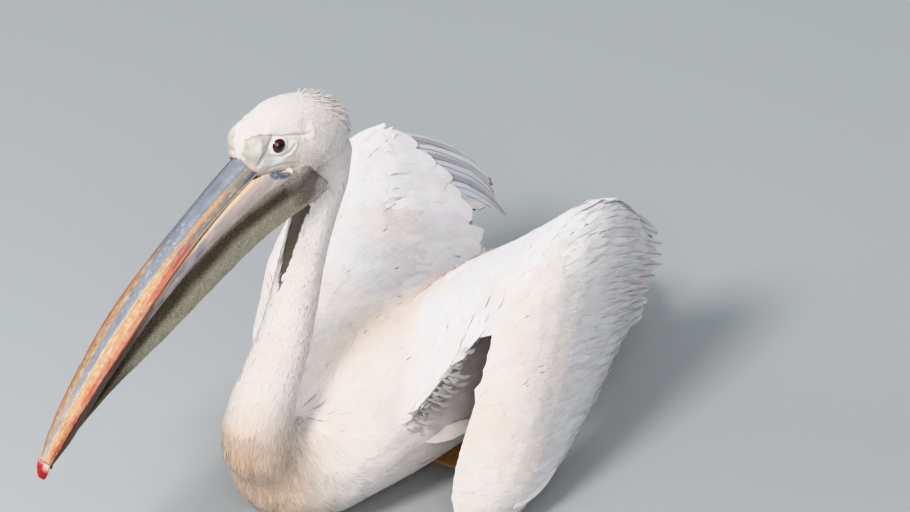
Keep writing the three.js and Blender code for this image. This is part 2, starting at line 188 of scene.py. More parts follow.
def node_points(name):
    return points_of(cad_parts[name].data)


def make_object(name, mesh):
    obj = bpy.data.objects.new(name, mesh)
    bpy.context.scene.collection.objects.link(obj)
    return obj


def set_smooth(mesh):
    mesh.polygons.foreach_set("use_smooth", np.ones(len(mesh.polygons), bool))


def placed(obj, nodes=()):
    """Puts a piece under the root body, and hides the CAD nodes it stands for."""
    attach(obj, "root")
    if nodes:
        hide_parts(*nodes)
    return obj


def add_colour(mesh, name, colours):
    attribute = mesh.color_attributes.new(name, "FLOAT_COLOR", "POINT")
    rgba = np.ones((len(colours), 4), np.float32)
    rgba[:, : colours.shape[1]] = colours
    attribute.data.foreach_set("color", rgba.ravel())


SMOOTH_PUSH = 0.5
SMOOTH_PULL = -0.52


def umbrella(points, edges):
    """Each point's way to the middle of its neighbours."""
    n = len(points)
    a, b = edges[:, 0], edges[:, 1]
    degree = np.maximum(np.bincount(edges.ravel(), minlength=n), 1)[:, None]
    total = np.stack(
        [np.bincount(a, points[b, k], n) + np.bincount(b, points[a, k], n) for k in range(3)], axis=1
    )
    return total / degree - points


def relax(points, edges, weight, rounds):
    """Taubin smoothing: evens a surface without shrinking it, as strongly as weight says."""
    for _ in range(rounds):
        for factor in (SMOOTH_PUSH, SMOOTH_PULL):
            points = points + factor * weight[:, None] * umbrella(points, edges)
    return points


def even_line(line, rounds):
    """Evens a line of points in place, and keeps its ends."""
    for _ in range(rounds):
        line[1:-1] = (line[:-2] + 2 * line[1:-1] + line[2:]) / 4


def on_line(at, places, line):
    """Places on a line of points, each point of which lies at one of the given places."""
    return np.stack([np.interp(at, places, line[:, k]) for k in range(3)], axis=-1)


def remeshed(name, sources, voxel, grow=0.0):
    """One closed mesh round some CAD nodes: each is grown a little, so that their gaps close."""
    verts, faces, count = [], [], 0
    for source in sources:
        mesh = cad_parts[source].data
        bm = bmesh.new()
        bm.from_mesh(mesh)
        bmesh.ops.remove_doubles(bm, verts=bm.verts, dist=1e-6)
        bmesh.ops.recalc_face_normals(bm, faces=bm.faces)
        bm.normal_update()
        for v in bm.verts:
            verts.append(v.co + v.normal * grow)
        for face in bm.faces:
            faces.append([count + v.index for v in face.verts])
        count += len(bm.verts)
        bm.free()
    mesh = bpy.data.meshes.new(name)
    mesh.from_pydata(verts, [], faces)
    obj = make_object(name, mesh)
    modifier = obj.modifiers.new("remesh", "REMESH")
    modifier.mode = "VOXEL"
    modifier.voxel_size = voxel
    bpy.context.view_layer.update()
    result = bpy.data.meshes.new_from_object(obj.evaluated_get(bpy.context.evaluated_depsgraph_get()))
    bpy.data.objects.remove(obj)
    bpy.data.meshes.remove(mesh)
    return largest_part(result)


def largest_part(mesh):
    """Drops all but the largest connected piece, such as a bubble sealed inside it."""
    bm = bmesh.new()
    bm.from_mesh(mesh)
    seen, islands = set(), []
    for start in bm.verts:
        if start.index in seen:
            continue
        seen.add(start.index)
        stack, island = [start], []
        while stack:
            v = stack.pop()
            island.append(v)
            for edge in v.link_edges:
                w = edge.other_vert(v)
                if w.index not in seen:
                    seen.add(w.index)
                    stack.append(w)
        islands.append(island)
    islands.sort(key=len)
    for island in islands[:-1]:
        bmesh.ops.delete(bm, geom=island, context="VERTS")
    bm.to_mesh(mesh)
    bm.free()
    return mesh


def subdivide_where(mesh, keep):
    """Splits once every quad whose corners are all kept."""
    bm = bmesh.new()
    bm.from_mesh(mesh)
    bm.verts.ensure_lookup_table()
    flags = keep.tolist()
    edges = {e for f in bm.faces if all(flags[v.index] for v in f.verts) for e in f.edges}
    bmesh.ops.subdivide_edges(bm, edges=list(edges), cuts=1, use_grid_fill=True)
    bm.to_mesh(mesh)
    bm.free()


class Surface:
    """A closed mesh to walk on: nearest points, with smooth normals."""

    def __init__(self, points, polygons):
        self.points = points
        self.tree = BVHTree.FromPolygons(points.tolist(), polygons)
        corners = np.array([list(p)[:3] + [p[-1]] for p in polygons])
        a, b, c = (points[corners[:, k]] for k in (0, 1, 2))
        flat = np.cross(b - a, c - a)
        vertex = np.zeros_like(points)
        for k in range(4):
            for axis in range(3):
                vertex[:, axis] += np.bincount(corners[:, k], flat[:, axis], len(points))
        self.vertex_normals = unit(vertex)
        self.normals = unit(self.vertex_normals[corners].mean(1))
        self.corners = corners
        diagonals = np.cross(points[corners[:, 2]] - a, points[corners[:, 3]] - b)
        self.areas = np.linalg.norm(diagonals, axis=1) / 2
        self.middles = points[corners].mean(1)

    def nearest(self, where):
        hits = [self.tree.find_nearest(p) for p in where.tolist()]
        place = np.array([h[0] for h in hits])
        index = np.array([h[2] for h in hits])
        return place, self.normals[index], index


def surface_of(mesh):
    polygons = [tuple(p.vertices) for p in mesh.polygons]
    return Surface(points_of(mesh), polygons)


def mesh_of_quads(name, points, quads):
    """A mesh made at once from arrays of points and four-cornered faces."""
    mesh = bpy.data.meshes.new(name)
    mesh.vertices.add(len(points))
    mesh.vertices.foreach_set("co", points.astype(np.float32).ravel())
    mesh.loops.add(quads.size)
    mesh.loops.foreach_set("vertex_index", quads.astype(np.int32).ravel())
    mesh.polygons.add(len(quads))
    mesh.polygons.foreach_set("loop_start", np.arange(0, quads.size, 4, dtype=np.int32))
    mesh.update(calc_edges=True)
    set_smooth(mesh)
    return mesh


def add_uv(mesh, name, coords):
    """A UV map from one (u, v) pair for each vertex."""
    layer = mesh.uv_layers.new(name=name)
    corner = np.empty(len(mesh.loops), np.int32)
    mesh.loops.foreach_get("vertex_index", corner)
    layer.data.foreach_set("uv", coords[corner].astype(np.float32).ravel())


# ======== the carrier: one smooth closed outline of the flesh, out to the tips of the coat ========


def filled(mesh, edges, weight, rounds):
    """Fills hollows where weight says: points move out to the middle of their neighbours, never in."""
    points = points_of(mesh)
    for number in range(rounds):
        if number % 10 == 0:
            set_points(mesh, points)
            normals = normals_of(mesh)
        out = (umbrella(points, edges) * normals).sum(1)
        points = points + normals * (0.7 * weight * np.maximum(out, 0.0))[:, None]
    set_points(mesh, points)


def spread(values, edges, rounds):
    """Averages a number at each point with its neighbours'."""
    n = len(values)
    a, b = edges[:, 0], edges[:, 1]
    degree = np.maximum(np.bincount(edges.ravel(), minlength=n), 1)
    for _ in range(rounds):
        total = np.bincount(a, values[b], n) + np.bincount(b, values[a], n)
        values = 0.5 * values + 0.5 * total / degree
    return values


class NodeFinder:
    """Says which CAD node is nearest to a point."""

    def __init__(self, names):
        verts, faces, owner = [], [], []
        for number, name in enumerate(names):
            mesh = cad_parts[name].data
            faces += [[len(verts) + i for i in p.vertices] for p in mesh.polygons]
            verts += [tuple(v.co) for v in mesh.vertices]
            owner += [number] * len(mesh.polygons)
        self.names = names
        self.tree = BVHTree.FromPolygons(verts, faces)
        self.owner = np.array(owner)

    def labels(self, points):
        return self.owner[np.array([self.tree.find_nearest(p)[2] for p in points.tolist()])]


def named(labels, *words):
    """True where a label's node name starts with one of the words."""
    hit = [any(name.startswith(word) for word in words) for name in FLESH]
    return np.array(hit)[labels]


POUCH_CORNER = (0.035, -0.138, 0.447)  # on the left; the right one mirrors it
FOREARM_NOTCH = (0.168, -0.045, 0.17)
FILL_ROUNDS = 900


def carrier_mesh():
    """The flesh in one smooth piece. The pouch's rear corners are tucked in and the lowest part of the breast
    is set back. The hollows at the neck's foot and the near forearm's front edge are filled."""
    mesh = remeshed("carrier", FLESH + ["eye_left", "eye_right"], SKIN_VOXEL, GAP_CLOSING)
    points = points_of(mesh)
    edges = edges_of(mesh)
    points = relax(points, edges, np.ones(len(points)), 3)
    set_points(mesh, points)
    bulge = -(umbrella(points, edges) * normals_of(mesh)).sum(1) / SKIN_VOXEL
    rim = (bulge > 0.09).astype(float)
    rim = np.clip(spread(rim, edges, 6) * 3.0, 0.0, 1.0)
    head_coords = to_head(points)
    face = (head_coords[:, 1] < 125) & (head_coords[:, 2] > -75) & (head_coords[:, 1] > -30)
    weight = 1.0 - 0.75 * rim
    weight[face] *= 0.5
    points = relax(points, edges, weight, 70)
    set_points(mesh, points)
    points = points_of(mesh)
    for sign in (-1, 1):
        corner = blob(points, np.array(POUCH_CORNER) * [sign, 1, 1], [0.022, 0.022, 0.026])
        points[:, 0] -= 0.008 * sign * corner
    below = (1 - smoothstep(-0.20, -0.15, points[:, 1])) * (1 - smoothstep(0.065, 0.09, points[:, 2]))
    points[:, 1] += 0.008 * below
    points[:, 0] *= 1 - 0.08 * below
    set_points(mesh, points)
    breast = (1 - smoothstep(-0.13, -0.07, points[:, 1])) * band(0.03, 0.19, 0.03, points[:, 2])
    breast = breast * (1 - smoothstep(0.06, 0.09, np.abs(points[:, 0])))
    edge = blob(points, FOREARM_NOTCH, [0.035, 0.04, 0.06])
    filled(mesh, edges, np.clip(breast + edge, 0, 1), FILL_ROUNDS)
    return mesh


THICKEST = 0.08  # the body counts as no thicker than this


def thickness_at(tree, points, normals):
    """How far it is through the body, straight in from each point."""
    out = np.full(len(points), THICKEST)
    starts = points - normals * 0.0004
    for i, (p, n) in enumerate(zip(starts.tolist(), (-normals).tolist())):
        distance = tree.ray_cast(p, n, THICKEST)[3]
        if distance is not None:
            out[i] = distance
    return out


# ======== the lie of the coat ========

SPINE_STEP = 0.012


def spine_line():
    """A line from the forehead over the nape, down the neck and under the breast, with its direction."""
    head = from_head([[0, -5, -14], [0, 25, -12], [0, 55, -22], [0, 82, -45], [0, 92, -78]])
    neck = np.vstack([node_points(f"neck_{part}") for part in ("upper", "middle", "base")])
    levels = np.arange(0.43, 0.14, -0.03)
    slices = [neck[np.abs(neck[:, 2] - level) < 0.02] for level in levels]
    middle = np.array([(s.min(0) + s.max(0)) / 2 for s in slices if len(s)])
    middle[:, 0] = 0.0
    low = np.array([[0, -0.222, 0.09], [0, -0.20, 0.05], [0, -0.15, 0.03], [0, -0.05, 0.03], [0, 0.25, 0.06]])
    rough = np.vstack([head, middle, low])
    reach = np.r_[0, np.cumsum(np.linalg.norm(np.diff(rough, axis=0), axis=1))]
    line = on_line(np.arange(0, reach[-1], SPINE_STEP), reach, rough)
    even_line(line, 3)
    return line, unit(np.gradient(line, axis=0))


SPINE, SPINE_WAY = spine_line()


def spine_place(points):
    """How far along the spine line each point is, from 0 at the forehead, in metres."""
    d = ((points[:, None, :] - SPINE[None]) ** 2).sum(-1)
    weight = np.exp(-(d - d.min(1, keepdims=True)) / 0.02**2)
    return (weight * (np.arange(len(SPINE)) * SPINE_STEP)).sum(1) / weight.sum(1)


def lie(points, normals, labels):
    """The way a feather lies at each point: down the head and neck, and back over body and wings."""
    d = ((points[:, None, :] - SPINE[None]) ** 2).sum(-1)
    weight = np.exp(-(d - d.min(1, keepdims=True)) / 0.03**2)
    down_neck = unit((weight[..., None] * SPINE_WAY).sum(1))
    back = np.tile([0.0, 1.0, -0.12], (len(points), 1))
    body = smoothstep(-0.20, -0.11, points[:, 1]) * (1.0 - smoothstep(0.20, 0.27, points[:, 2]))
    body = np.where(named(labels, "wing"), 1.0, body)
    body = np.where(named(labels, "head", "neck_upper", "neck_middle"), 0.0, body)
    way = down_neck * (1 - body)[:, None] + back * body[:, None]
    way = way - normals * (way * normals).sum(1, keepdims=True)
    return unit(way)


INERTIA = 0.6  # how much of its last direction a path keeps at each step
EDGE_TURN = 0.5  # a surface that turns by more than this (a cosine) in one step ends there
CROWD = 5.0  # places tried for each square of the spacing
ROOM_STEP = 0.005  # how finely the room before an edge is measured


class Coat:
    """The carrier's surface with its labels, on which feathers are placed and walked."""

    def __init__(self, mesh):
        self.surface = surface_of(mesh)
        self.finder = NodeFinder(FLESH)
        self.labels = self.finder.labels(self.surface.points)
        self.face_labels = self.labels[self.surface.corners[:, 0]]

    def scatter(self, faces, spacing):
        """Places on the chosen faces, no two closer than the spacing."""
        faces = np.flatnonzero(faces)
        limit = spacing * spacing
        share = self.surface.areas[faces] / limit * CROWD
        count = RNG.poisson(share)
        chosen = np.repeat(faces, count)
        chosen = chosen[RNG.permutation(len(chosen))]
        c = self.surface.corners[chosen]
        u = RNG.random((len(chosen), 1))
        v = RNG.random((len(chosen), 1))
        p = self.surface.points
        near = p[c[:, 0]] * (1 - u) + p[c[:, 1]] * u
        far = p[c[:, 3]] * (1 - u) + p[c[:, 2]] * u
        points = near * (1 - v) + far * v
        keys = np.floor(points / spacing).astype(int).tolist()
        grid, keep = {}, []
        around = [(i, j, k) for i in (-1, 0, 1) for j in (-1, 0, 1) for k in (-1, 0, 1)]
        for number, ((x, y, z), key) in enumerate(zip(points.tolist(), keys)):
            taken = any(
                (x - qx) ** 2 + (y - qy) ** 2 + (z - qz) ** 2 < limit
                for i, j, k in around
                for qx, qy, qz in grid.get((key[0] + i, key[1] + j, key[2] + k), ())
            )
            if not taken:
                grid.setdefault(tuple(key), []).append((x, y, z))
                keep.append(number)
        return points[keep], self.surface.normals[chosen[keep]], self.face_labels[chosen[keep]]

    def walk(self, points, normals, labels, steps, turn=0.0):
        """Paths from each point along the lie of the coat. steps holds every step's length. Past an edge of
        the surface a path flies straight on. Also returned: the surface normals, and how far each path went
        before the edge."""
        p, n = points.copy(), normals.copy()
        way = lie(p, n, labels)
        turned = np.broadcast_to(turn, len(p))[:, None]
        flying = np.zeros(len(p), bool)
        kept = np.zeros(len(p))
        paths, ups = [p.copy()], [n.copy()]
        for k in range(steps.shape[1]):
            ahead = lie(p, n, labels)
            ahead = ahead * np.cos(turned) + np.cross(n, ahead) * np.sin(turned)
            ahead = unit(way * INERTIA + ahead) if k else ahead
            way = np.where(flying[:, None], way, ahead)
            step = steps[:, k : k + 1]
            q = p + way * step
            near, fresh, _ = self.surface.nearest(q)
            gap = np.linalg.norm(near - q, axis=1)
            off = (gap > 0.5 * step[:, 0] + 1e-4) | ((fresh * n).sum(1) < EDGE_TURN)
            flying |= off
            kept += np.where(flying, 0.0, step[:, 0])
            p = np.where(flying[:, None], q, near)
            n = np.where(flying[:, None], n, fresh)
            paths.append(p.copy())
            ups.append(n.copy())
        return np.stack(paths, 1), np.stack(ups, 1), kept

    def room(self, points, normals, labels, reach):
        """How far a feather can lie from each point before it passes an edge."""
        count = int(reach / ROOM_STEP)
        return self.walk(points, normals, labels, np.full((len(points), count), ROOM_STEP))[2]


# ======== the wings' own lines ========

# The left wing's upper face, in millimetres: each rib runs with the feathers, from the front edge over the
# middle to a feather tip. The ribs go from the spine over the raised elbow and down to the wrist.
RIBS = np.array(
    [
        [[7, -160, 104], [6, 35, 196], [5, 176, 184]],
        [[48, -150, 92], [46, 72, 224], [46, 214, 200]],
        [[98, -104, 116], [106, 112, 284], [96, 268, 190]],
        [[130, -44, 186], [158, 140, 329], [130, 290, 216]],
        [[150, 0, 228], [190, 120, 286], [146, 304, 186]],
        [[160, -16, 206], [206, 86, 216], [140, 284, 126]],
        [[168, -44, 162], [219, 48, 152], [142, 240, 84]],
        [[170, -70, 108], [226, 9, 94], [162, 166, 48]],
        [[172, -88, 58], [228, -30, 48], [190, 84, 30]],
        [[182, -90, 22], [212, -50, 12], [202, -2, 16]],
    ],
    float,
)
# How each wing differs from that face: a turn and stretch about the shoulder, and shifts in millimetres.
SHOULDER = np.array([0.0, -110.0, 185.0])
WING_TURN = {"left": 0.0, "right": math.radians(7)}
WING_STRETCH = {"left": 1.0, "right": 1.06}
WRIST_SHIFT = {"left": (0.0, 0.0), "right": (46.0, 32.0)}  # back and up
WRIST_TUCK = {"left": 0, "right": 15}
ELBOW_HUNCH = {"left": 0.0, "right": 56.0}
COVERT_STEP = {"left": 0.0, "right": 16.0}
INNER_TRIM = {"left": 0.0, "right": 0.12}


def wing_face(side, u, rib):
    """Places on a wing's upper face: u from the front edge (0) to the tips (1), rib from spine to wrist."""
    u, rib = np.broadcast_arrays(u, rib)
    u = u * (1 - INNER_TRIM[side] * (1 - smoothstep(1.7, 2.3, rib)))
    i = np.clip(np.floor(rib).astype(int), 0, len(RIBS) - 2)
    t = (rib - i)[..., None, None]
    p = [RIBS[np.clip(i + k, 0, len(RIBS) - 1)] for k in (-1, 0, 1, 2)]
    blend = p[1] + 0.5 * t * (p[2] - p[0] + t * (2 * p[0] - 5 * p[1] + 4 * p[2] - p[3]
                                                 + t * (3 * (p[1] - p[2]) + p[3] - p[0])))
    front, middle, tip = blend[..., 0, :], blend[..., 1, :], blend[..., 2, :]
    control = 2 * middle - 0.5 * front - 0.5 * tip
    control[..., 1] -= ELBOW_HUNCH[side] * smoothstep(0, 2.5, rib) * (1 - smoothstep(4.5, 7, rib))
    u = u[..., None]
    point = front * (1 - u) ** 2 + control * 2 * u * (1 - u) + tip * u**2
    u = u[..., 0]
    point[..., 2] -= COVERT_STEP[side] * smoothstep(0.48, 0.62, u) * (1 - smoothstep(0.75, 1.0, u))
    point = point - SHOULDER
    c, s = math.cos(WING_TURN[side]), math.sin(WING_TURN[side])
    y, z = point[..., 1] * c + point[..., 2] * s, point[..., 2] * c - point[..., 1] * s
    stretch = WING_STRETCH[side]
    point = np.stack([point[..., 0], y * stretch, z * stretch], axis=-1) + SHOULDER
    distal = smoothstep(3.5, 9, rib)
    point[..., 1] += WRIST_SHIFT[side][0] * distal + WRIST_TUCK[side] * smoothstep(6, 8, rib)
    point[..., 2] += WRIST_SHIFT[side][1] * distal
    return point * [1.0 if side == "left" else -1.0, 1, 1] * MM


def wing_place(side, points):
    """The place on a wing's upper face nearest to each point: u from front edge to tips, and the rib."""
    u, rib = (g.ravel() for g in np.meshgrid(np.linspace(0, 1.04, 105), np.linspace(0, 9, 181)))
    grid = KDTree(len(u))
    for number, place in enumerate(wing_face(side, u, rib).tolist()):
        grid.insert(place, number)
    grid.balance()
    near = np.array([grid.find(p)[1] for p in points.tolist()], int)
    return u[near], rib[near]


# Where the white coverts of the far wing end and its silver tertials begin.
LOBE_EDGE = ([0.0, 1.0, 1.6, 1.85, 2.0, 2.25, 2.5, 2.75, 3.0, 3.2, 3.6, 5, 9],
             [0.93, 0.95, 0.95, 0.90, 0.79, 0.73, 0.68, 0.64, 0.60, 0.62, 0.70, 0.80, 0.95])


def past_lobes(points):
    """How far points on the far wing lie past the edge of its white coverts, in parts of a rib."""
    u, rib = wing_place("right", points)
    return np.where((rib > 1.9) & (rib < 3.9), u - np.interp(rib, *LOBE_EDGE), -1.0)


def drawn_back(side, points, amount):
    """How far points near a wing's feather tips move when its edge is drawn back along the ribs."""
    u, rib = wing_place(side, points)
    return wing_face(side, u - amount * smoothstep(0.55, 1.0, u), rib) - wing_face(side, u, rib)


# ======== markings, shared by skin and coat ========

WHITE = (0.83, 0.775, 0.75)
COOL = (0.77, 0.79, 0.835)
WARM_SHADE = (0.86, 0.70, 0.58)
BUFF = (0.36, 0.215, 0.12)
PALE_BUFF = (0.64, 0.47, 0.34)
SHADE_GREY = (0.58, 0.575, 0.60)
NAPE_SHADE = (0.60, 0.575, 0.575)
ROSY_WHITE = (0.87, 0.755, 0.705)
REMEX = (0.035, 0.034, 0.038)


def plumage_colour(points, labels, room=None):
    """The plumage's colour: white with a rosy tinge, buff on the breast, painted warm shade in the back's
    groove, and painted grey shade on the nape and near a wing's edges.
    """
    colour = np.tile(np.array(WHITE), (len(points), 1))
    x, y, z = points.T
    cloud = value_noise(points, 0.06, 3) * 0.5 + 0.5
    arm = named(labels, "wing_left_arm", "wing_right_arm")
    colour = mix(colour, COOL, np.where(arm, 0.35 + 0.4 * cloud, 0.12 * cloud))
    # Painted warm shade, with reflected light, in the groove of the back between the wings.
    groove = bell(x, 0.03) * smoothstep(-0.16, -0.1, y) * (z > 0.13)
    colour = mix(colour, WARM_SHADE, 0.75 * groove * (~named(labels, "neck", "head")))
    rosy = smoothstep(0.45, 0.8, value_noise(points, 0.045, 9) * 0.5 + 0.5)
    colour = mix(colour, ROSY_WHITE, 0.5 * rosy)
    breast = bell(x, 0.08)
    breast = breast * (1 - smoothstep(-0.225, -0.165, y)) * (1 - smoothstep(0.135, 0.215, z))
    streak = 0.35 + 0.4 * value_noise(points * [1, 1, 0.1], 0.0045, 5)
    colour = mix(colour, mix(PALE_BUFF, BUFF, streak), breast * 0.95)
    h = to_head(points)
    # Painted grey shade on the nape.
    nape = blob(h, [0, 100, -72], [26, 34, 60]) * named(labels, "head", "neck_upper")
    colour = mix(colour, NAPE_SHADE, np.clip(0.75 * nape, 0, 1))
    # Painted grey shade where little room is left before a wing's edge.
    if room is not None:
        thin = 1.0 - smoothstep(0.012, 0.05, room)
        colour = mix(colour, SHADE_GREY, 0.42 * thin * (0.5 + 0.5 * cloud))
    return colour


# The crease that bounds the bare face above: its height g for each place b behind the culmen's base.
CREASE_BACK = [0, 10, 17, 25, 33, 40, 46, 52, 57, 62, 66, 72]
CREASE_HIGH = [-3, 7, 13, 18.5, 18, 12.5, 3, -7.6, -15, -23.6, -31, -40]


def face_depth(h):
    """How far inside the bare face a place is, in head millimetres. Negative on the plumage."""
    above = np.interp(h[:, 1], CREASE_BACK, CREASE_HIGH) - h[:, 2]
    behind = (66 + 1.2 * (h[:, 2] + 31) - h[:, 1]) / 1.56
    return np.minimum(above * 0.7, behind)


# ======== materials ========


class Nodes:
    """Short-hand for building one material's node tree."""

    def __init__(self, name):
        self.material = bpy.data.materials.new(name)
        self.material.use_nodes = True
        self.tree = self.material.node_tree
        self.shader = self.tree.nodes["Principled BSDF"]

    def feed(self, socket, value):
        """Links an output, or sets a number or a colour."""
        if isinstance(value, bpy.types.NodeSocket):
            self.tree.links.new(value, socket)
        elif len(np.shape(value)) and len(socket.default_value) == 4:
            socket.default_value = (*value, 1.0)
        else:
            socket.default_value = value

    def node(self, kind, out, inputs=(), **settings):
        """A node's output. The inputs are a dictionary by socket name or number."""
        node = self.tree.nodes.new(kind)
        for key, value in settings.items():
            setattr(node, key, value)
        for key, value in dict(inputs).items():
            self.feed(node.inputs[key], value)
        return node.outputs[out]

    def set(self, **values):
        """Values on the shader's own sockets."""
        for key, value in values.items():
            self.shader.inputs[key.replace("_", " ")].default_value = value

    def tinted(self, level, tint=None):
        """The piece's own tint, darkened or lightened by a level."""
        if tint is None:
            tint = self.node("ShaderNodeVertexColor", "Color", layer_name="Tint")
        grey = self.node("ShaderNodeCombineColor", "Color", {0: level, 1: level, 2: level})
        return self.blend(1.0, tint, grey, "MULTIPLY")

    def along(self):
        """The UV map that runs across and along a feather or the bill."""
        return self.node("ShaderNodeUVMap", "UV", uv_map="Vane")

    def place(self):
        return self.node("ShaderNodeTexCoord", "Object")

    def scaled(self, vector, scale):
        node = self.tree.nodes.new("ShaderNodeMapping")
        node.inputs["Scale"].default_value = scale
        self.tree.links.new(vector, node.inputs["Vector"])
        return node.outputs["Vector"]

    def noise(self, vector, scale, detail=3.0, rough=0.55):
        inputs = {"Vector": vector, "Scale": scale, "Detail": detail, "Roughness": rough}
        return self.node("ShaderNodeTexNoise", "Fac", inputs)

    def cells(self, vector, scale):
        return self.node("ShaderNodeTexVoronoi", "Distance", {"Vector": vector, "Scale": scale})

    def ramp(self, value, low, high, out_low=0.0, out_high=1.0):
        inputs = {"Value": value, "From Min": low, "From Max": high, "To Min": out_low, "To Max": out_high}
        return self.node("ShaderNodeMapRange", "Result", inputs)

    def math(self, operation, a, b):
        return self.node("ShaderNodeMath", 0, {0: a, 1: b}, operation=operation)

    def blend(self, factor, a, b, mode="MIX"):
        return self.node("ShaderNodeMix", 2, {0: factor, 6: a, 7: b}, data_type="RGBA", blend_type=mode)

    def first(self, vector):
        return self.node("ShaderNodeSeparateXYZ", "X", {0: vector})

    def bump(self, height, distance, strength):
        inputs = {"Height": height, "Distance": distance, "Strength": strength}
        return self.node("ShaderNodeBump", "Normal", inputs)

    def finish(self, colour, rough, normal):
        """Puts colour, roughness and normal on the shader, and gives the material."""
        for key, value in (("Base Color", colour), ("Roughness", rough), ("Normal", normal)):
            self.feed(self.shader.inputs[key], value)
        return self.material


def vane_material(name, contrast, rough=0.72):
    """Feather: the tint of its root, barbs that run out from the shaft, and a soft sheen."""
    m = Nodes(name)
    vane = m.along()
    barbs = m.noise(m.scaled(vane, (2.2, 26.0, 1.0)), 1.0, 3.0, 0.6)
    shaft = m.ramp(m.first(vane), 0.0, 0.045, 0.86, 1.0)
    patches = m.noise(m.place(), 38.0, 2.0)
    level = m.ramp(barbs, 0.25, 0.75, 1.0 - contrast, 1.0 + contrast * 0.35)
    broad = m.ramp(patches, 0.3, 0.7, 0.95, 1.03)
    level = m.math("MULTIPLY", level, broad)
    level = m.math("MULTIPLY", level, shaft)
    colour = m.tinted(level)
    m.set(Sheen_Weight=0.25, Sheen_Roughness=0.5, Specular_IOR_Level=0.25)
    return m.finish(colour, m.ramp(barbs, 0.2, 0.8, rough - 0.08, rough + 0.1), m.bump(barbs, 0.0002, 0.6))


def skin_material(name):
    """Bare skin: the tint, fine pores and soft creases."""
    m = Nodes(name)
    pores = m.noise(m.place(), 900.0, 3.0)
    creases = m.noise(m.place(), 120.0, 4.0, 0.6)
    level = m.math("MULTIPLY", m.ramp(pores, 0.3, 0.7, 0.93, 1.05), m.ramp(creases, 0.3, 0.7, 0.93, 1.04))
    colour = m.tinted(level)
    m.set(Subsurface_Weight=0.12, Subsurface_Scale=0.004, Specular_IOR_Level=0.35)
    m.shader.inputs["Subsurface Radius"].default_value = (1.0, 0.45, 0.3)
    height = m.math("ADD", m.math("MULTIPLY", pores, 0.35), creases)
    return m.finish(colour, m.ramp(pores, 0.3, 0.7, 0.47, 0.67), m.bump(height, 0.0004, 0.8))


def pebble_material(name):
    """The pouch: fine pebbles in rows over soft folds, darker between them."""
    m = Nodes(name)
    grain = m.place()
    pebbles = m.cells(grain, 620.0)
    ribs = m.noise(m.scaled(grain, (1.0, 1.0, 0.35)), 210.0, 3.0)
    level = m.math("MULTIPLY", m.ramp(pebbles, 0.1, 0.7, 1.25, 0.6), m.ramp(ribs, 0.3, 0.7, 0.86, 1.12))
    colour = m.tinted(level)
    m.set(Subsurface_Weight=0.08, Subsurface_Scale=0.003, Specular_IOR_Level=0.4)
    height = m.math("SUBTRACT", m.math("MULTIPLY", ribs, 1.4), pebbles)
    return m.finish(colour, m.ramp(pebbles, 0.1, 0.7, 0.45, 0.68), m.bump(height, 0.0006, 0.9))


def horn_material(name, rough=0.42, flake=0.35):
    """Bill horn: the tint, streaks along the bill, small pits and flakes."""
    m = Nodes(name)
    along = m.along()
    streaks = m.noise(m.scaled(along, (30.0, 3.0, 1.0)), 1.0, 4.0, 0.65)
    pits = m.cells(m.scaled(along, (26.0, 9.0, 1.0)), 1.0)
    grain = m.noise(m.place(), 1400.0, 2.0)
    level = m.math("MULTIPLY", m.ramp(streaks, 0.25, 0.75, 0.84, 1.12), m.ramp(grain, 0.3, 0.7, 0.95, 1.04))
    level = m.math("MULTIPLY", level, m.ramp(pits, 0.0, 0.22, 1.0 - flake * 0.5, 1.0))
    colour = m.tinted(level)
    m.set(Specular_IOR_Level=0.5)
    height = m.math("ADD", m.math("MULTIPLY", streaks, 0.8), m.ramp(pits, 0.0, 0.25, 0.0, 0.5))
    return m.finish(colour, m.ramp(streaks, 0.2, 0.8, rough - 0.1, rough + 0.14), m.bump(height, 0.0004, 0.8))


# ======== the skin ========

FACE_CREAM = (0.66, 0.61, 0.555)
FACE_WHITE = (0.80, 0.79, 0.775)
FACE_PINK = (0.82, 0.715, 0.665)
LENS_CREAM = (0.36, 0.345, 0.29)
CREASE_SHADE = (0.36, 0.27, 0.21)
JAW_BLUE = (0.125, 0.15, 0.185)
POUCH_SHADE = (0.12, 0.095, 0.07)
POUCH_OLIVE = (0.54, 0.49, 0.37)
POUCH_OCHRE = (0.50, 0.42, 0.22)
POUCH_ROOT = (0.60, 0.48, 0.43)
POUCH_REAR_SHADOW = (0.24, 0.19, 0.155)
CHEEK_END_SHADED = (0.60, 0.52, 0.49)  # where the pouch's rear end passes into the feathered neck
THROAT_SHADOW = (0.30, 0.24, 0.20)
THROAT_OLIVE_SHADED = (0.085, 0.072, 0.045)
BILL_BASE_BROWN = (0.33, 0.22, 0.15)
HOLLOW_SHADE = (0.40, 0.34, 0.27)
UNDER_EYE_SHADE = (0.52, 0.46, 0.40)
CHEEK_FOLD_SHADE = (0.56, 0.44, 0.34)
LID_PALE = (0.86, 0.86, 0.85)
LID_DARK = (0.10, 0.075, 0.07)
FOREHEAD_SHADE = (0.52, 0.455, 0.42)

EYE_RADIUS = 11.0
EYE_PLACE = np.array([21.3, 41.5, -14.5])  # the left eye's, in head millimetres
EYE_LOOK = np.array([0.95, 0.0, 0.31])  # the way the left eye looks: out and a little up
LID_ANGLE = math.radians(48)


def line_distance(h, line):
    """Distance in the side view (b, g) from each place to a line of points."""
    line = np.asarray(line, float)
    best = np.full(len(h), 1e9)
    p = h[:, 1:3]
    for a, b in zip(line[:-1], line[1:]):
        t = np.clip(((p - a) @ (b - a)) / ((b - a) @ (b - a)), 0, 1)
        best = np.minimum(best, np.linalg.norm(p - a - t[:, None] * (b - a), axis=1))
    return best


CREASE = list(zip(CREASE_BACK[1:], CREASE_HIGH[1:]))
HOLLOW = [(46, 1), (38, 0.5), (29, 0.5), (18, -2), (10, -5)]
UNDER_EYE = [(25, -5), (29, -14), (34, -24), (43, -29), (52, -29)]
CHEEK_FOLD = [(14, -20), (22, -27), (31, -37), (36, -48)]


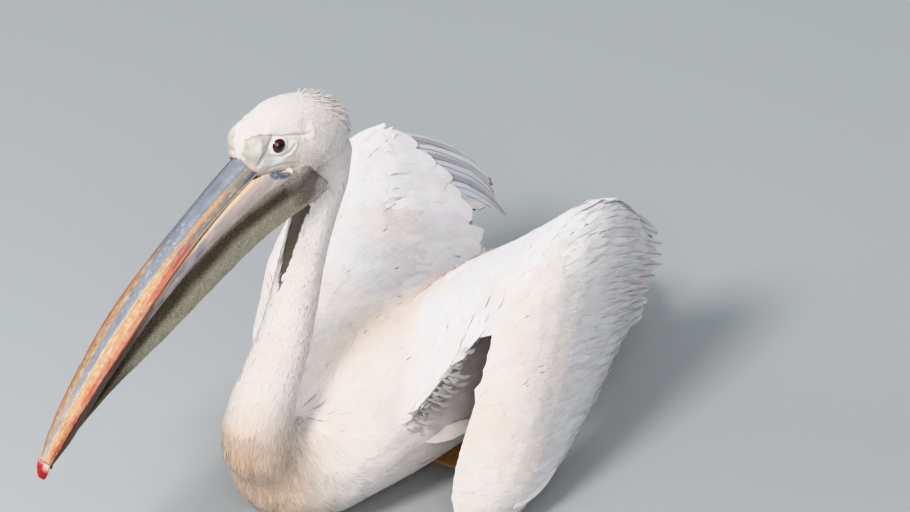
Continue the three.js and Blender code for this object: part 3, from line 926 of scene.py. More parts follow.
def eye_angle(h):
    """Angle from the nearer eye's axis, distance from its middle and the turn about the axis."""
    mirror = np.ones((len(h), 3))
    mirror[h[:, 0] < 0, 0] = -1
    centre = mirror * EYE_PLACE
    axis = unit(mirror * EYE_LOOK)
    q = h - centre
    distance = np.linalg.norm(q, axis=1)
    way = q / np.maximum(distance, 1e-6)[:, None]
    angle = np.arccos(np.clip((way * axis).sum(1), -1, 1))
    return angle, distance, way, centre


def lid_shape(way):
    """The lid's opening angle round the eye: wider towards the bill, where the eye has a corner."""
    forward = np.clip(-(way[:, 1] * 0.86 + way[:, 2] * 0.5), 0, 1)
    return LID_ANGLE * (1.0 + 0.22 * forward**3 - 0.03)


def shape_face(points, normals):
    """Lids, crease, hollow and folds of the face, pressed into the skin in head coordinates."""
    h = to_head(points)
    side = np.abs(h[:, 0]) > 3
    inside = face_depth(h)
    near_face = (h[:, 1] > -8) & (h[:, 1] < 105) & (h[:, 2] > -80)
    out = np.zeros(len(h))
    crease = line_distance(h, CREASE)
    strength = smoothstep(4, 10, np.abs(h[:, 0]))
    out -= 1.3 * bell(crease, 1.3) * strength
    out += 0.9 * bell(crease - 4.5, 3.0) * strength * (inside < 0)
    out += 2.0 * blob(h * [0, 1, 1], [0, 23, 8], [1, 17, 9]) * strength
    hollow = line_distance(h, HOLLOW)
    out -= 1.5 * bell(hollow, 2.6) * side
    under = line_distance(h, UNDER_EYE)
    out -= 0.9 * bell(under, 1.5) * side
    out += 0.8 * bell(under - 3.4, 1.8) * side * (h[:, 2] < -14)
    cheek = line_distance(h, CHEEK_FOLD)
    out -= 0.8 * bell(cheek, 1.6) * side
    out -= 2.4 * bell(h[:, 1] - 46, 7) * smoothstep(6, 14, h[:, 2])
    out += 2.2 * bell(h[:, 1] - 72, 15) * smoothstep(4, 16, -inside)
    wrinkle = value_noise(h * [1, 1, 2.2], 3.0, 21) * 0.22 + value_noise(h, 1.3, 22) * 0.08
    out += wrinkle * smoothstep(0, 6, inside)
    points = points + normals * (out * near_face * MM)[:, None]

    h = to_head(points)
    angle, distance, way, centre = eye_angle(h)
    opening = lid_shape(way)
    past = np.degrees(angle - opening)
    lid = np.interp(
        past,
        [-40, -5, -1.5, 1.0, 4.0, 8.0, 12.0, 17.0, 24.0],
        [8.8, 9.4, 10.4, 11.35, 11.95, 12.6, 13.1, 13.6, 15.0],
    )
    hold = 1.0 - smoothstep(13, 26, past)
    near_eye = (distance < 26) & (np.degrees(angle) < 80)
    target = centre + way * (distance + (lid - distance) * hold)[:, None]
    h = np.where(near_eye[:, None], target, h)
    return from_head(h)


def face_colour(h):
    """The bare face's colour in head coordinates, with painted shade in its hollow and folds."""
    colour = np.tile(np.array(FACE_CREAM), (len(h), 1))
    colour = mix(colour, FACE_PINK, smoothstep(52, 72, h[:, 1] - h[:, 2] * 0.5) * 0.8)
    lens = blob(h * [0, 1, 1], [0, 25, 7], [1, 24, 13])
    colour = mix(colour, LENS_CREAM, np.clip(1.5 * lens, 0, 1))
    angle, _, way, _ = eye_angle(h)
    past = np.degrees(angle - lid_shape(way))
    pale = 1.0 - smoothstep(8, 46, past)
    colour = mix(colour, FACE_WHITE, pale * 0.85)
    # Painted shade in the hollow between the lens and the eye.
    hollow = line_distance(h, HOLLOW)
    colour = mix(colour, HOLLOW_SHADE, 0.72 * bell(hollow, 2.2) * (h[:, 1] > 12))
    # Painted shade in the fold under the eye.
    under = line_distance(h, UNDER_EYE)
    colour = mix(colour, UNDER_EYE_SHADE, 0.55 * bell(under, 1.2))
    # Painted shade in the cheek's fold.
    cheek = line_distance(h, CHEEK_FOLD)
    colour = mix(colour, CHEEK_FOLD_SHADE, 0.5 * bell(cheek, 1.4))
    colour = mix(colour, LID_PALE, 1.0 - smoothstep(1.0, 9.0, past))
    colour = mix(colour, LID_DARK, 1.0 - smoothstep(-1.5, 1.0, past))
    colour = mix(colour, FOREHEAD_SHADE, 0.6 * (1 - smoothstep(4, 20, h[:, 1])))
    mottle = value_noise(h, 5.0, 31)[:, None] * 0.035
    return np.clip(colour + mottle * [1.0, 1.0, 0.9], 0, 1)


# The pouch's upper and lower edge in head millimetres, at places along the bill from its base (0) to tip (1).
POUCH_PLACES = [-0.1, -0.04, 0.1, 0.3, 0.5, 0.7, 0.86]
POUCH_KEEL = [-148, -142, -122, -107, -86, -52, -27]
POUCH_TOP = [-47, -44, -34, -26, -20, -18, -15]


def pouch_hang(points):
    """How far down the pouch a point is, from 0 at the jaw to 1 at its keel."""
    t, _, z = bill_place(points)
    top = np.interp(t, POUCH_PLACES, POUCH_TOP)
    keel = np.interp(t, POUCH_PLACES, POUCH_KEEL)
    return np.clip((top - z) / (top - keel), 0, 1)


def throat_front(points):
    """1 on the bare olive strip that runs down the front of the neck from the pouch, 0 elsewhere."""
    x, y, z = points.T
    ahead = np.interp(z, [0.30, 0.36, 0.42], [-0.172, -0.152, -0.132])
    half = np.interp(z, [0.30, 0.35, 0.39, 0.41], [0.002, 0.009, 0.011, 0.017])
    across = np.abs(x + 0.003) / half
    return (1 - smoothstep(0.85, 1.15, across)) * smoothstep(0.30, 0.315, z) * (y < ahead)


def skin_colour(points, labels, room, pouch):
    """The skin's colour: plumage under the coat, the bare face, and the pouch where its mask says, with
    painted shade and shadow on the face's folds, the pouch and the throat.
    """
    h = to_head(points)
    coat = plumage_colour(points, labels, room)
    inside = face_depth(h)
    on_head = named(labels, "head", "pouch", "neck_upper") & (h[:, 1] < 100)
    bare = smoothstep(-0.5, 0.8, inside) * (on_head & (np.abs(h[:, 0]) > 2))
    colour = mix(coat, face_colour(h), bare)
    # Painted shade in the crease above the bare face.
    crease = line_distance(h, CREASE)
    thin = bell(crease, 0.75) * smoothstep(5, 9, np.abs(h[:, 0])) * named(labels, "head")
    colour = mix(colour, CREASE_SHADE, 0.62 * thin * (h[:, 1] > 26))
    base = bell(h[:, 1] - 1.5, 2.2) * (h[:, 2] > -22) * named(labels, "head")
    colour = mix(colour, BILL_BASE_BROWN, 0.75 * base)
    hang = pouch_hang(points)
    # Painted shadow of the bill on the upper pouch; the lower pouch is the lit olive.
    depth = smoothstep(0.34, 0.56, hang + 0.06 * value_noise(points, 0.03, 43))
    wall = mix(POUCH_SHADE, POUCH_OLIVE, depth)
    wall = mix(wall, POUCH_OCHRE, smoothstep(0.84, 0.98, hang) * 0.75)
    t, _, _ = bill_place(points)
    root = (1 - smoothstep(0.07, 0.22, hang)) * (1 - smoothstep(0.22, 0.42, t))
    wall = mix(wall, POUCH_ROOT, root)
    # Painted shadow of the head on the pouch's rear end.
    rear = smoothstep(2, 24, h[:, 1] - 0.25 * (h[:, 2] + 60)) * (1 - smoothstep(0.72, 0.86, hang))
    wall = mix(wall, POUCH_REAR_SHADOW, rear * 0.9)
    # Painted shade: the pouch darker towards the bill's tip.
    wall = mix(wall, wall * [0.30, 0.27, 0.25], smoothstep(0.52, 0.72, t))
    wall = mix(wall, FACE_PINK, rear * smoothstep(-82, -48, h[:, 2]))
    wall = wall * (1.0 + 0.14 * value_noise(points, 0.012, 41)[:, None])
    # The cheek's pink in painted shade, where the pouch's rear passes into the neck.
    wall = mix(wall, CHEEK_END_SHADED, smoothstep(-0.160, -0.142, points[:, 1]))
    rest = 1 - smoothstep(0.15, 0.9, pouch)
    colour = mix(colour, wall, 1 - rest)
    # Painted shadow of the head on the throat.
    throat = blob(h * [0, 1, 1], [0, 52, -92], [1, 40, 30]) * (named(labels, "neck") | (h[:, 2] < -60))
    colour = mix(colour, THROAT_SHADOW, np.clip(1.2 * throat, 0, 1) * 0.75 * rest)
    # Bare olive skin down the front of the neck, painted dark as the shade of the pouch.
    front = throat_front(points) * named(labels, "neck_upper", "neck_middle")
    colour = mix(colour, THROAT_OLIVE_SHADED, 0.95 * front)
    return np.clip(colour, 0, 1)


def skin_piece(coat, carrier):
    """The one skin under the coat, with the bare face and pouch."""
    surface = coat.surface
    points, normals, labels = surface.points, surface.vertex_normals, coat.labels
    edges = edges_of(carrier)
    depth = np.zeros(len(points))
    for word, amount in COAT_DEPTH.items():
        depth[named(labels, word)] = amount * MM
    thick = thickness_at(surface.tree, points, normals)
    depth = spread(np.minimum(depth, 0.3 * thick), edges, 5)
    wing = named(labels, "wing")
    reach = 0.095
    room = np.full(len(points), reach)
    room[wing] = coat.room(points[wing], normals[wing], labels[wing], reach)
    room = np.where(wing, spread(room, edges, 4), reach)
    skin = carrier.copy()
    skin.name = "skin"
    moved = points - normals * depth[:, None]
    for side in ("left", "right"):
        mine = named(labels, f"wing_{side}_arm", f"wing_{side}_forearm")
        moved[mine] += drawn_back(side, points[mine], 0.10 if side == "left" else 0.13)
    moved = relax(moved, edges, np.where(wing, 0.6, 0.0), 4)
    set_points(skin, moved)
    add_colour(skin, "Room", np.repeat((room * 10)[:, None], 3, axis=1))

    def refine(choose):
        places = points_of(skin)
        subdivide_where(skin, choose(to_head(places)))

    refine(lambda h: (h[:, 1] > -400) & (h[:, 1] < 112) & (h[:, 2] > -150) & (np.abs(h[:, 0]) < 60))
    refine(lambda h: (h[:, 1] > -6) & (h[:, 1] < 84) & (h[:, 2] > -75) & (h[:, 2] < 30))
    refine(lambda h: np.degrees(eye_angle(h)[0]) < 74)
    points = points_of(skin)
    edges = edges_of(skin)
    h = to_head(points)
    fine = ((h[:, 1] > -400) & (h[:, 1] < 112) & (h[:, 2] > -150)).astype(float)
    points = relax(points, edges, fine, 10)
    set_points(skin, points)
    points = shape_face(points, normals_of(skin))
    set_points(skin, points)
    set_smooth(skin)
    room = np.empty(len(points) * 4, np.float32)
    skin.color_attributes["Room"].data.foreach_get("color", room)
    room = room.reshape(-1, 4)[:, 0] / 10
    skin.color_attributes.remove(skin.color_attributes["Room"])
    labels = coat.finder.labels(points)
    blurred = spread(named(labels, "pouch").astype(float), edges, 14)
    add_colour(skin, "Tint", skin_colour(points, labels, room, blurred))
    obj = make_object("skin", skin)
    skin.materials.append(skin_material("skin_bare"))
    skin.materials.append(pebble_material("pouch_pebbled"))
    pouch = named(labels, "pouch")
    index = np.array([pouch[p.vertices[0]] for p in skin.polygons], np.int32)
    skin.polygons.foreach_set("material_index", index)
    return obj


# ======== feathers ========

FLOOR_CLEAR = 0.3 * MM  # no feather comes nearer to the floor than this
BAKE_PATCH = 0.003  # the size of a feather's patch on the bake map


def vanes(
        name, paths, ups, half_width, tints, *, low, high, shape, material, unwrap, thick, lift=0.3,
        arch=0.05, curl=0.0, tip_tint=None
):
    """Joined closed vanes, one along each path. Heights low and high are from the path, at root and tip.
    shape gives the width at each place from root to tip."""
    n, k = paths.shape[:2]
    s = ring_places(k)
    tangent = unit(np.gradient(paths, axis=1))
    side = unit(np.cross(tangent, ups))
    up = np.cross(side, tangent)
    low = np.broadcast_to(low, n)[:, None]
    high = np.broadcast_to(high, n)[:, None]
    curl = np.broadcast_to(curl, n)[:, None]
    height = low + (high - low) * s**lift + curl * s**3
    centre = paths + up * height[..., None]
    half = half_width[:, None] * np.interp(s, *shape)
    out = side * half[..., None]
    sag = up * (arch * half)[..., None]
    body = up * (thick * (1.0 - 0.7 * s))[None, :, None] / 2
    ring = np.stack([centre - out - sag, centre + body, centre + out - sag, centre - body], axis=2)
    ring[..., 2] += np.maximum(FLOOR_CLEAR - ring[..., 2].min((1, 2)), 0.0)[:, None, None]
    points = ring.reshape(-1, 3)
    first = (np.arange(n)[:, None] * k + np.arange(k - 1)) * 4
    turn = np.array([[i, (i + 1) % 4, 4 + (i + 1) % 4, 4 + i] for i in range(4)])
    quads = (first[..., None, None] + turn).reshape(-1, 4)
    start = (np.arange(n) * k * 4)[:, None]
    caps = np.vstack([start + [0, 3, 2, 1], start + (k - 1) * 4 + [0, 1, 2, 3]])
    mesh = mesh_of_quads(name, points, np.vstack([quads, caps]))
    pairs = edges_of(mesh)
    corner, place = pairs % 4, (pairs // 4) % k
    rim = (corner[:, 0] == corner[:, 1]) & (corner[:, 0] % 2 == 0)
    cap = (place[:, 0] == place[:, 1]) & np.isin(place[:, 0], (0, k - 1))
    sharp = rim | cap
    mesh.attributes.new("sharp_edge", "BOOLEAN", "EDGE").data.foreach_set("value", sharp)

    reach = np.cumsum(np.r_[0.0, np.linalg.norm(np.diff(paths, axis=1), axis=2).mean(0)])
    off = RNG.random(n)[:, None, None]
    across = np.abs(np.array([-1.0, 0.0, 1.0, 0.0]))[None, None] * half[..., None]
    along = np.broadcast_to(reach[None, :, None], across.shape) - 1.1 * across
    vane = np.stack([across * 100, along * 100 + off * 40], axis=-1)
    add_uv(mesh, "Vane", vane.reshape(-1, 2))
    patch_u = np.broadcast_to(np.array([-1.0, 0.0, 1.0, 0.0]) * BAKE_PATCH / 2, across.shape)
    patch_v = np.broadcast_to(s[None, :, None] * BAKE_PATCH, across.shape)
    patch = np.stack([unwrap[:, None, None, 0] + patch_u, unwrap[:, None, None, 1] + patch_v], axis=-1)
    add_uv(mesh, "OFBake", np.clip(patch.reshape(-1, 2), 0.0, 1.0))

    colour = np.broadcast_to(tints[:, None, None], (n, k, 4, 3)).copy()
    if tip_tint is not None:
        amount = (np.broadcast_to(tip_tint[1], n)[:, None] * smoothstep(0.55, 1.0, s))[..., None, None]
        colour = colour * (1 - amount) + np.asarray(tip_tint[0]) * amount
    add_colour(mesh, "Tint", colour.reshape(-1, 3))
    mesh.materials.append(material)
    return make_object(name, mesh)


def ring_places(count):
    """Places of a vane's rings from root to tip, closer together towards the tip."""
    return 1.0 - (1.0 - np.linspace(0.0, 1.0, count)) ** 1.4


LANCE = ([0, 0.15, 0.4, 0.7, 0.9, 1.0], [0.25, 0.75, 1.0, 0.85, 0.42, 0.04])
ROUND = ([0, 0.15, 0.4, 0.75, 0.92, 1.0], [0.22, 0.6, 0.9, 1.0, 0.72, 0.12])
STRAP = ([0, 0.1, 0.3, 0.8, 0.95, 1.0], [0.15, 0.45, 0.8, 1.0, 0.65, 0.08])


def fill_square(u, v):
    """Two unwrapped measures, stretched over the bake square."""
    def stretched(x):
        low, high = x.min(), x.max()
        return 0.01 + 0.975 * (x - low) / max(high - low, 1e-9)
    return np.stack([stretched(u), stretched(v)], axis=1)


def unwrap_round(points):
    """Body, neck or head: the turn about the spine line against the place along it."""
    d = ((points[:, None, :] - SPINE[None]) ** 2).sum(-1)
    near = d.argmin(1)
    q = points - SPINE[near]
    way = SPINE_WAY[near]
    ahead = unit(np.cross(way, [1.0, 0.0, 0.0]))
    turn = np.arctan2(q[:, 0], (q * ahead).sum(1))
    return fill_square(turn, spine_place(points) + 0.2 * points[:, 1])


def unwrap_wing(points):
    """A wing's face: the way down it against the way back."""
    return fill_square(points[:, 2] - 0.3 * np.abs(points[:, 0]), points[:, 1])


def jittered(tints, amount=0.025):
    """Tints that vary from feather to feather, in grey and a little in hue."""
    grey = RNG.normal(0, amount, (len(tints), 1))
    hue = RNG.normal(0, amount * 0.35, (len(tints), 3))
    return np.clip(tints * (1 + grey + hue), 0, 1)


def steps_of(length, rings):
    """The step from ring to ring along feathers of the given lengths."""
    return length[:, None] * np.diff(ring_places(rings))


def coat_on(
        coat, name, faces, material, spacing, length, width, low, high, *, rings=5, shape=LANCE,
        unwrap=unwrap_round, turn=0.09, clear=20, ruffle=0.0, curl=0.0, lift=0.3, thick=0.32
):
    """One region's small feathers, with measures in millimetres. On a wing they all end clear of its edges,
    where the long feathers lie."""
    points, normals, labels = coat.scatter(faces, spacing * MM)
    n = len(points)
    size = length * MM * RNG.normal(1.0, 0.1, n).clip(0.75, 1.25)
    turns = RNG.normal(0, turn, n)
    wing = named(labels, "wing")
    if wing.any():
        room = np.full(n, 1.0)
        reach = float(size.max()) + clear * MM + ROOM_STEP
        room[wing] = coat.room(points[wing], normals[wing], labels[wing], reach)
        keep = room > size + clear * MM
        points, normals, labels, size, turns = (a[keep] for a in (points, normals, labels, size, turns))
    paths, ups, kept = coat.walk(points, normals, labels, steps_of(size, rings), turns)
    lies = kept > 0.6 * size
    points, labels, paths, ups = (a[lies] for a in (points, labels, paths, ups))
    n = len(points)
    half = width * MM / 2 * RNG.normal(1.0, 0.1, n).clip(0.7, 1.3)
    obj = vanes(
        name, paths, ups, half, jittered(plumage_colour(points, labels)), low=low * MM,
        high=high * MM + ruffle * MM * RNG.random(n) ** 2, shape=shape, material=material,
        unwrap=unwrap(points), lift=lift, thick=thick * MM, curl=curl * MM * RNG.random(n)
    )
    placed(obj)


# ======== eyes, bill, feet, tail and flight feathers ========


def eye_material():
    """Wet and clear over a fine-grained iris."""
    m = Nodes("iris_wet")
    grain = m.noise(m.place(), 1500.0, 3.0)
    colour = m.tinted(m.ramp(grain, 0.3, 0.7, 0.7, 1.25))
    m.set(Coat_Weight=1.0, Coat_Roughness=0.03, Specular_IOR_Level=0.5)
    return m.finish(colour, 0.25, m.bump(grain, 0.00005, 0.2))


def eye_piece(side, sign, material):
    """A ball with a black pupil and a dark red-brown iris, looking along the eye's axis."""
    low, high = (np.array(v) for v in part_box(f"eye_{side}"))
    centre = (low + high) / 2
    radius = EYE_RADIUS * MM
    name = f"eye_{side}_ball"
    mesh = bpy.data.meshes.new(name)
    bm = bmesh.new()
    bmesh.ops.create_icosphere(bm, subdivisions=5, radius=radius)
    bm.to_mesh(mesh)
    bm.free()
    points = points_of(mesh)
    axis = unit(EYE_LOOK * [sign, 1, 1]) @ HEAD_AXES
    angle = np.degrees(np.arccos(np.clip(unit(points) @ axis, -1, 1)))
    cornea = 0.5 * MM * (1 - smoothstep(0, 34, angle))
    set_points(mesh, points + unit(points) * cornea[:, None] + centre)
    spokes = value_noise(unit(points), 0.09, 51)[:, None]
    iris = np.array([0.060, 0.011, 0.007]) * (1 + 0.5 * spokes)
    colour = mix(iris, (0.003, 0.002, 0.002), 1 - smoothstep(19, 21.5, angle))
    colour = mix(colour, (0.03, 0.012, 0.01), smoothstep(35, 43, angle))
    add_colour(mesh, "Tint", np.clip(colour, 0, 1))
    finish_piece(name, mesh, material, [f"eye_{side}"])


def bill_place(points):
    """Bill coordinates: t from base to tip, x from the bowed middle and height over the bowed line, in mm."""
    h = to_head(points)
    t = -h[:, 1] / (BILL_LENGTH / MM)
    bow = 4 * t * (1 - t)
    return t, h[:, 0] - BILL_SWEEP / MM * bow, h[:, 2] - BILL_ARCH / MM * bow


def smooth_copy(name, nodes, voxel, rounds, grow=0.0):
    """CAD nodes as one smoothed mesh."""
    mesh = remeshed(name, nodes, voxel, grow)
    points = points_of(mesh)
    set_points(mesh, relax(points, edges_of(mesh), np.ones(len(points)), rounds))
    return mesh


WIDTH_BINS = 60


def half_widths(t, x):
    """The half-width of a bill piece at each place along it, measured from the piece."""
    span = np.linspace(t.min(), t.max(), WIDTH_BINS + 1)
    which = np.clip(np.digitize(t, span) - 1, 0, WIDTH_BINS - 1)
    wide = np.zeros(WIDTH_BINS)
    np.maximum.at(wide, which, np.abs(x))
    wide = np.convolve(np.pad(wide, 2, mode="edge"), np.ones(5) / 5, "valid")
    return np.interp(t, (span[:-1] + span[1:]) / 2, wide)


BILL_SLATE = (0.115, 0.135, 0.165)
BILL_BLUE = (0.20, 0.225, 0.275)
BILL_CREAM = (0.66, 0.53, 0.38)
BILL_ORANGE = (0.60, 0.27, 0.085)
BILL_OCHRE = (0.50, 0.32, 0.155)
BILL_GREEN = (0.20, 0.205, 0.19)
BILL_RED = (0.42, 0.05, 0.035)
BILL_ROSE = (0.60, 0.28, 0.24)
BILL_LILAC = (0.42, 0.35, 0.37)
BILL_DARK_FLECK = (0.22, 0.075, 0.035)
BILL_FLAME = (0.66, 0.20, 0.075)
BILL_PALE_FLECK = (0.42, 0.43, 0.46)
BILL_EDGE = (0.20, 0.055, 0.03)
# The pale ridge's half-width in parts of the bill's, at places from base (0) to tip (1).
BILL_RIDGE_PLACES = [0, 0.2, 0.38, 0.6, 0.9, 1.0]
BILL_RIDGE = [0.54, 0.48, 0.32, 0.22, 0.24, 0.30]


def upper_bill_colour(t, s, drop):
    """s runs from -1 to 1 across the upper bill; drop is 0 on the ridge and 1 at the cutting edge."""
    along = np.stack([t * BILL_MM, s * 18, drop * 8], axis=1)
    streak = value_noise(along * [0.10, 1, 1], 1.6, 61)
    fleck = value_noise(along * [0.35, 1, 1], 1.3, 62)
    mottle = value_noise(along * [0.3, 1, 1], 5.0, 63)
    far = smoothstep(0.24, 0.44, t)
    a = np.abs(s)
    ridge = np.interp(t, BILL_RIDGE_PLACES, BILL_RIDGE)
    edge = ridge + 0.035 * streak
    near = smoothstep(-0.1, 0.1, s)
    side = mix(mix(BILL_BLUE, BILL_GREEN, near), BILL_OCHRE, far)
    side = mix(side, BILL_ORANGE, (0.1 + 0.4 * smoothstep(-0.3, 0.5, streak)) * (0.15 * near + 0.85 * far))
    orange = band(ridge + 0.05, ridge + 0.22, 0.05, a) * (1 - far) * (0.6 + 0.4 * streak)
    orange = orange * smoothstep(0.03, 0.12, t) * near
    side = mix(side, BILL_ORANGE, np.clip(orange, 0, 1))
    side = mix(side, BILL_CREAM, smoothstep(0.05, 0.6, fleck) * (0.25 + 0.55 * far))
    side = mix(side, BILL_DARK_FLECK, smoothstep(0.35, 0.8, -fleck) * 0.6 * far)
    red = smoothstep(0.52, 0.92, np.maximum(drop, a * 0.96)) * band(0.30, 0.94, 0.1, t)
    # Painted shade: the bill's far side darker.
    side = side * (0.66 + 0.34 * near)[:, None]
    side = mix(side, BILL_RED, np.clip(red * (0.78 + 0.3 * mottle + 0.4 * streak), 0, 1))
    flame = smoothstep(0.25, 0.8, streak) * band(0.35, 0.97, 0.1, t) * smoothstep(ridge + 0.1, 0.8, a)
    side = mix(side, BILL_FLAME, 0.62 * flame)
    blue = mix(BILL_BLUE, BILL_LILAC, smoothstep(0.68, 0.92, t))
    blue = mix(blue, BILL_SLATE, smoothstep(0.0, 0.8, mottle) * 0.45)
    blue = mix(blue, BILL_PALE_FLECK, smoothstep(0.2, 0.8, fleck) * 0.5)
    colour = mix(side, blue, 1 - smoothstep(edge - 0.03, edge + 0.03, a))
    rim = bell(a - ridge - 0.03, 0.035)
    colour = mix(colour, BILL_CREAM, 0.5 * rim * far)
    slate = (1 - smoothstep(0.018, 0.06, t + 0.012 * mottle)) * smoothstep(ridge + 0.2, ridge + 0.4, a)
    colour = mix(colour, BILL_SLATE * np.array([0.75, 0.8, 0.85]), slate * 0.85)
    lip = smoothstep(0.80, 0.92, drop) * (1 - far * 0.6)
    colour = mix(colour, BILL_CREAM, 0.75 * lip)
    colour = mix(colour, BILL_EDGE, smoothstep(0.95, 1.0, drop) * 0.85)
    tip = smoothstep(0.93, 0.965, t)
    colour = mix(colour, mix(BILL_CREAM, BILL_ROSE, 0.4), tip * 0.6)
    return np.clip(colour, 0, 1)


def upper_bill(material):
    """The upper bill with its two grooves, and rough plates beside the ridge."""
    mesh = smooth_copy("bill_upper_horn", ["bill_upper"], 1.25 * MM, 14)
    points, normals = points_of(mesh), normals_of(mesh)
    t, x, z = bill_place(points)
    wide = np.maximum(half_widths(t, x), 4)
    s = np.clip(x / wide, -1, 1)
    ridge = np.interp(t, BILL_RIDGE_PLACES, BILL_RIDGE)
    top = normals @ HEAD_AXES[2] > -0.35
    groove = bell((np.abs(s) - ridge - 0.04) * wide, 1.3) * top
    lower = bell((np.abs(s) - 0.86) * wide, 1.1) * top
    along = np.stack([t * BILL_MM, s * 18, z], axis=1)
    rough = value_noise(along * [0.12, 1, 1], 1.7, 71) * 0.22
    rough += value_noise(along * [0.4, 1, 1], 1.2, 72) * 0.12
    out = -1.0 * groove - 0.45 * lower + rough * smoothstep(ridge, ridge + 0.2, np.abs(s))
    out += 0.5 * (1 - smoothstep(0, ridge, np.abs(s))) * top
    points = points + normals * (out * MM)[:, None]
    set_points(mesh, points)
    depth = np.interp(t, [0, 0.2, 0.5, 0.8, 1], [19, 16, 12, 9, 7])
    drop = np.clip(-z / (depth * 0.86), 0, 1)
    drop = np.where(top, drop, 1.0)
    add_colour(mesh, "Tint", upper_bill_colour(t, s, drop))
    add_uv(mesh, "Vane", np.stack([x / 30, t * BILL_MM / 30], axis=1))
    finish_piece("bill_upper_horn", mesh, material, ["bill_upper"])


def finish_piece(name, mesh, material, nodes):
    """A smooth-shaded piece of one material, placed in the scene."""
    set_smooth(mesh)
    mesh.materials.append(material)
    mesh.name = name
    placed(make_object(name, mesh), nodes)


def bill_tip(material):
    """The hooked nail: pale above where it meets the ridge, red on its hook."""
    mesh = smooth_copy("bill_nail_hook", ["bill_nail"], 0.7 * MM, 10, grow=0.35 * MM)
    points, normals = points_of(mesh), normals_of(mesh)
    t, x, _ = bill_place(points)
    rough = value_noise(to_head(points), 1.6, 81) * 0.15
    set_points(mesh, points + normals * (rough * MM)[:, None])
    pale = smoothstep(0.2, 0.9, value_noise(to_head(points), 3.0, 82)) * 0.25
    colour = mix((0.42, 0.02, 0.02), (0.6, 0.16, 0.12), pale)
    root = 1 - smoothstep(0.955, 0.972, t)
    colour = mix(colour, (0.72, 0.42, 0.34), root * 0.8)
    side = smoothstep(2.0, 6.0, x) * (1 - smoothstep(0.965, 0.985, t))
    colour = mix(colour, (0.82, 0.72, 0.60), 0.7 * side)
    add_colour(mesh, "Tint", np.clip(colour, 0, 1))
    add_uv(mesh, "Vane", np.stack([x / 30, t * BILL_MM / 30], axis=1))
    finish_piece("bill_nail_hook", mesh, material, ["bill_nail"])


def meet_upper_bill(points, t, x, v):
    """Leans the tops of the lower jaw's rods against the upper bill, and rounds off their rear ends."""
    h = to_head(points)
    sign = np.sign(x)
    edge = np.interp(t, [0, 0.2, 0.34, 0.55], [21, 19.5, 21.5, 24])
    rod = np.interp(t, [0, 0.2, 0.45], [27, 18.5, 15.5])
    lean = (1 - v) * band(-0.012, 0.30, 0.05, t)
    h[:, 0] += sign * (edge - 1.5 - rod) * lean * (t < 0.2)
    h[:, 2] += np.interp(t, [0, 0.1, 0.2, 0.35], [8.5, 6.0, 3.6, 1.5]) * lean
    past = np.clip((h[:, 1] - 13) / 16.5, 0, 1)
    round_end = np.sqrt(np.clip(1 - past**2, 0.04, 1))
    middle = np.interp(t, [-0.07, 0], [-45, -34])
    h[:, 2] = middle + (h[:, 2] - middle) * np.where(past > 0, round_end, 1)
    h[:, 0] -= sign * 3.5 * past**1.5
    return from_head(h)


def lower_bill(material):
    """The lower jaw's rods: pale along the top, mottled blue and rose, with painted shade along their lower
    edge and towards the tip.
    """
    mesh = smooth_copy("bill_lower_horn", ["bill_lower"], 1.3 * MM, 12, grow=0.15 * MM)
    points, normals = points_of(mesh), normals_of(mesh)
    t, x, z = bill_place(points)
    h = to_head(points)
    top = np.interp(t, [-0.07, 0, 0.15, 0.4, 0.7, 0.97], [-38, -24, -19.5, -16, -13, -11]) - 1.2
    depth = np.interp(t, [-0.07, 0.05, 0.3, 0.6, 0.97], [15, 21, 17, 11, 6])
    v = np.clip((top - z) / depth, 0, 1)
    along = np.stack([t * BILL_MM, z, x * 0.5], axis=1)
    mottle = value_noise(along * [0.3, 1, 1], 4.0, 91)
    fleck = value_noise(along * [0.6, 1, 1], 1.2, 92)
    colour = mix((0.27, 0.29, 0.335), (0.58, 0.455, 0.42), smoothstep(-0.3, 0.4, mottle) * 0.85)
    colour = mix(colour, (0.62, 0.50, 0.45), band(-0.02, 0.2, 0.06, t) * 0.6)
    colour = mix(colour, (0.20, 0.20, 0.24), smoothstep(0.55, 0.9, fleck) * 0.6)
    colour = mix(colour, BILL_CREAM, (1 - smoothstep(0.10, 0.22, v)) * 0.85)
    # Painted shade along the rods' lower edge.
    colour = mix(colour, (0.30, 0.26, 0.22), smoothstep(0.78, 1.0, v) * 0.6)
    patch = blob(np.stack([h[:, 1], v * 20, v * 0], axis=1), [16, 6.5, 0], [11, 8, 1])
    patch = smoothstep(0.35, 0.55, patch + 0.08 * value_noise(h, 3.0, 93))
    colour = mix(colour, mix(JAW_BLUE, (0.34, 0.36, 0.39), smoothstep(0.1, 0.6, fleck)), patch)
    colour = mix(colour, (0.80, 0.74, 0.62), band(25, 40, 2.5, h[:, 1]) * 0.9)
    # Painted shade: the rods dark towards the tip.
    colour = mix(colour, (0.11, 0.085, 0.07), smoothstep(0.36, 0.58, t) * 0.88)
    points = meet_upper_bill(points, t, x, v)
    out = value_noise(along * [0.15, 1, 1], 2.0, 94) * 0.2
    out = out - 0.5 * bell((v - 0.2) * depth, 1.2)
    set_points(mesh, points + normals * (out * MM)[:, None])
    add_colour(mesh, "Tint", np.clip(colour, 0, 1))
    add_uv(mesh, "Vane", np.stack([z / 30, t * BILL_MM / 30], axis=1))
    finish_piece("bill_lower_horn", mesh, material, ["bill_lower"])


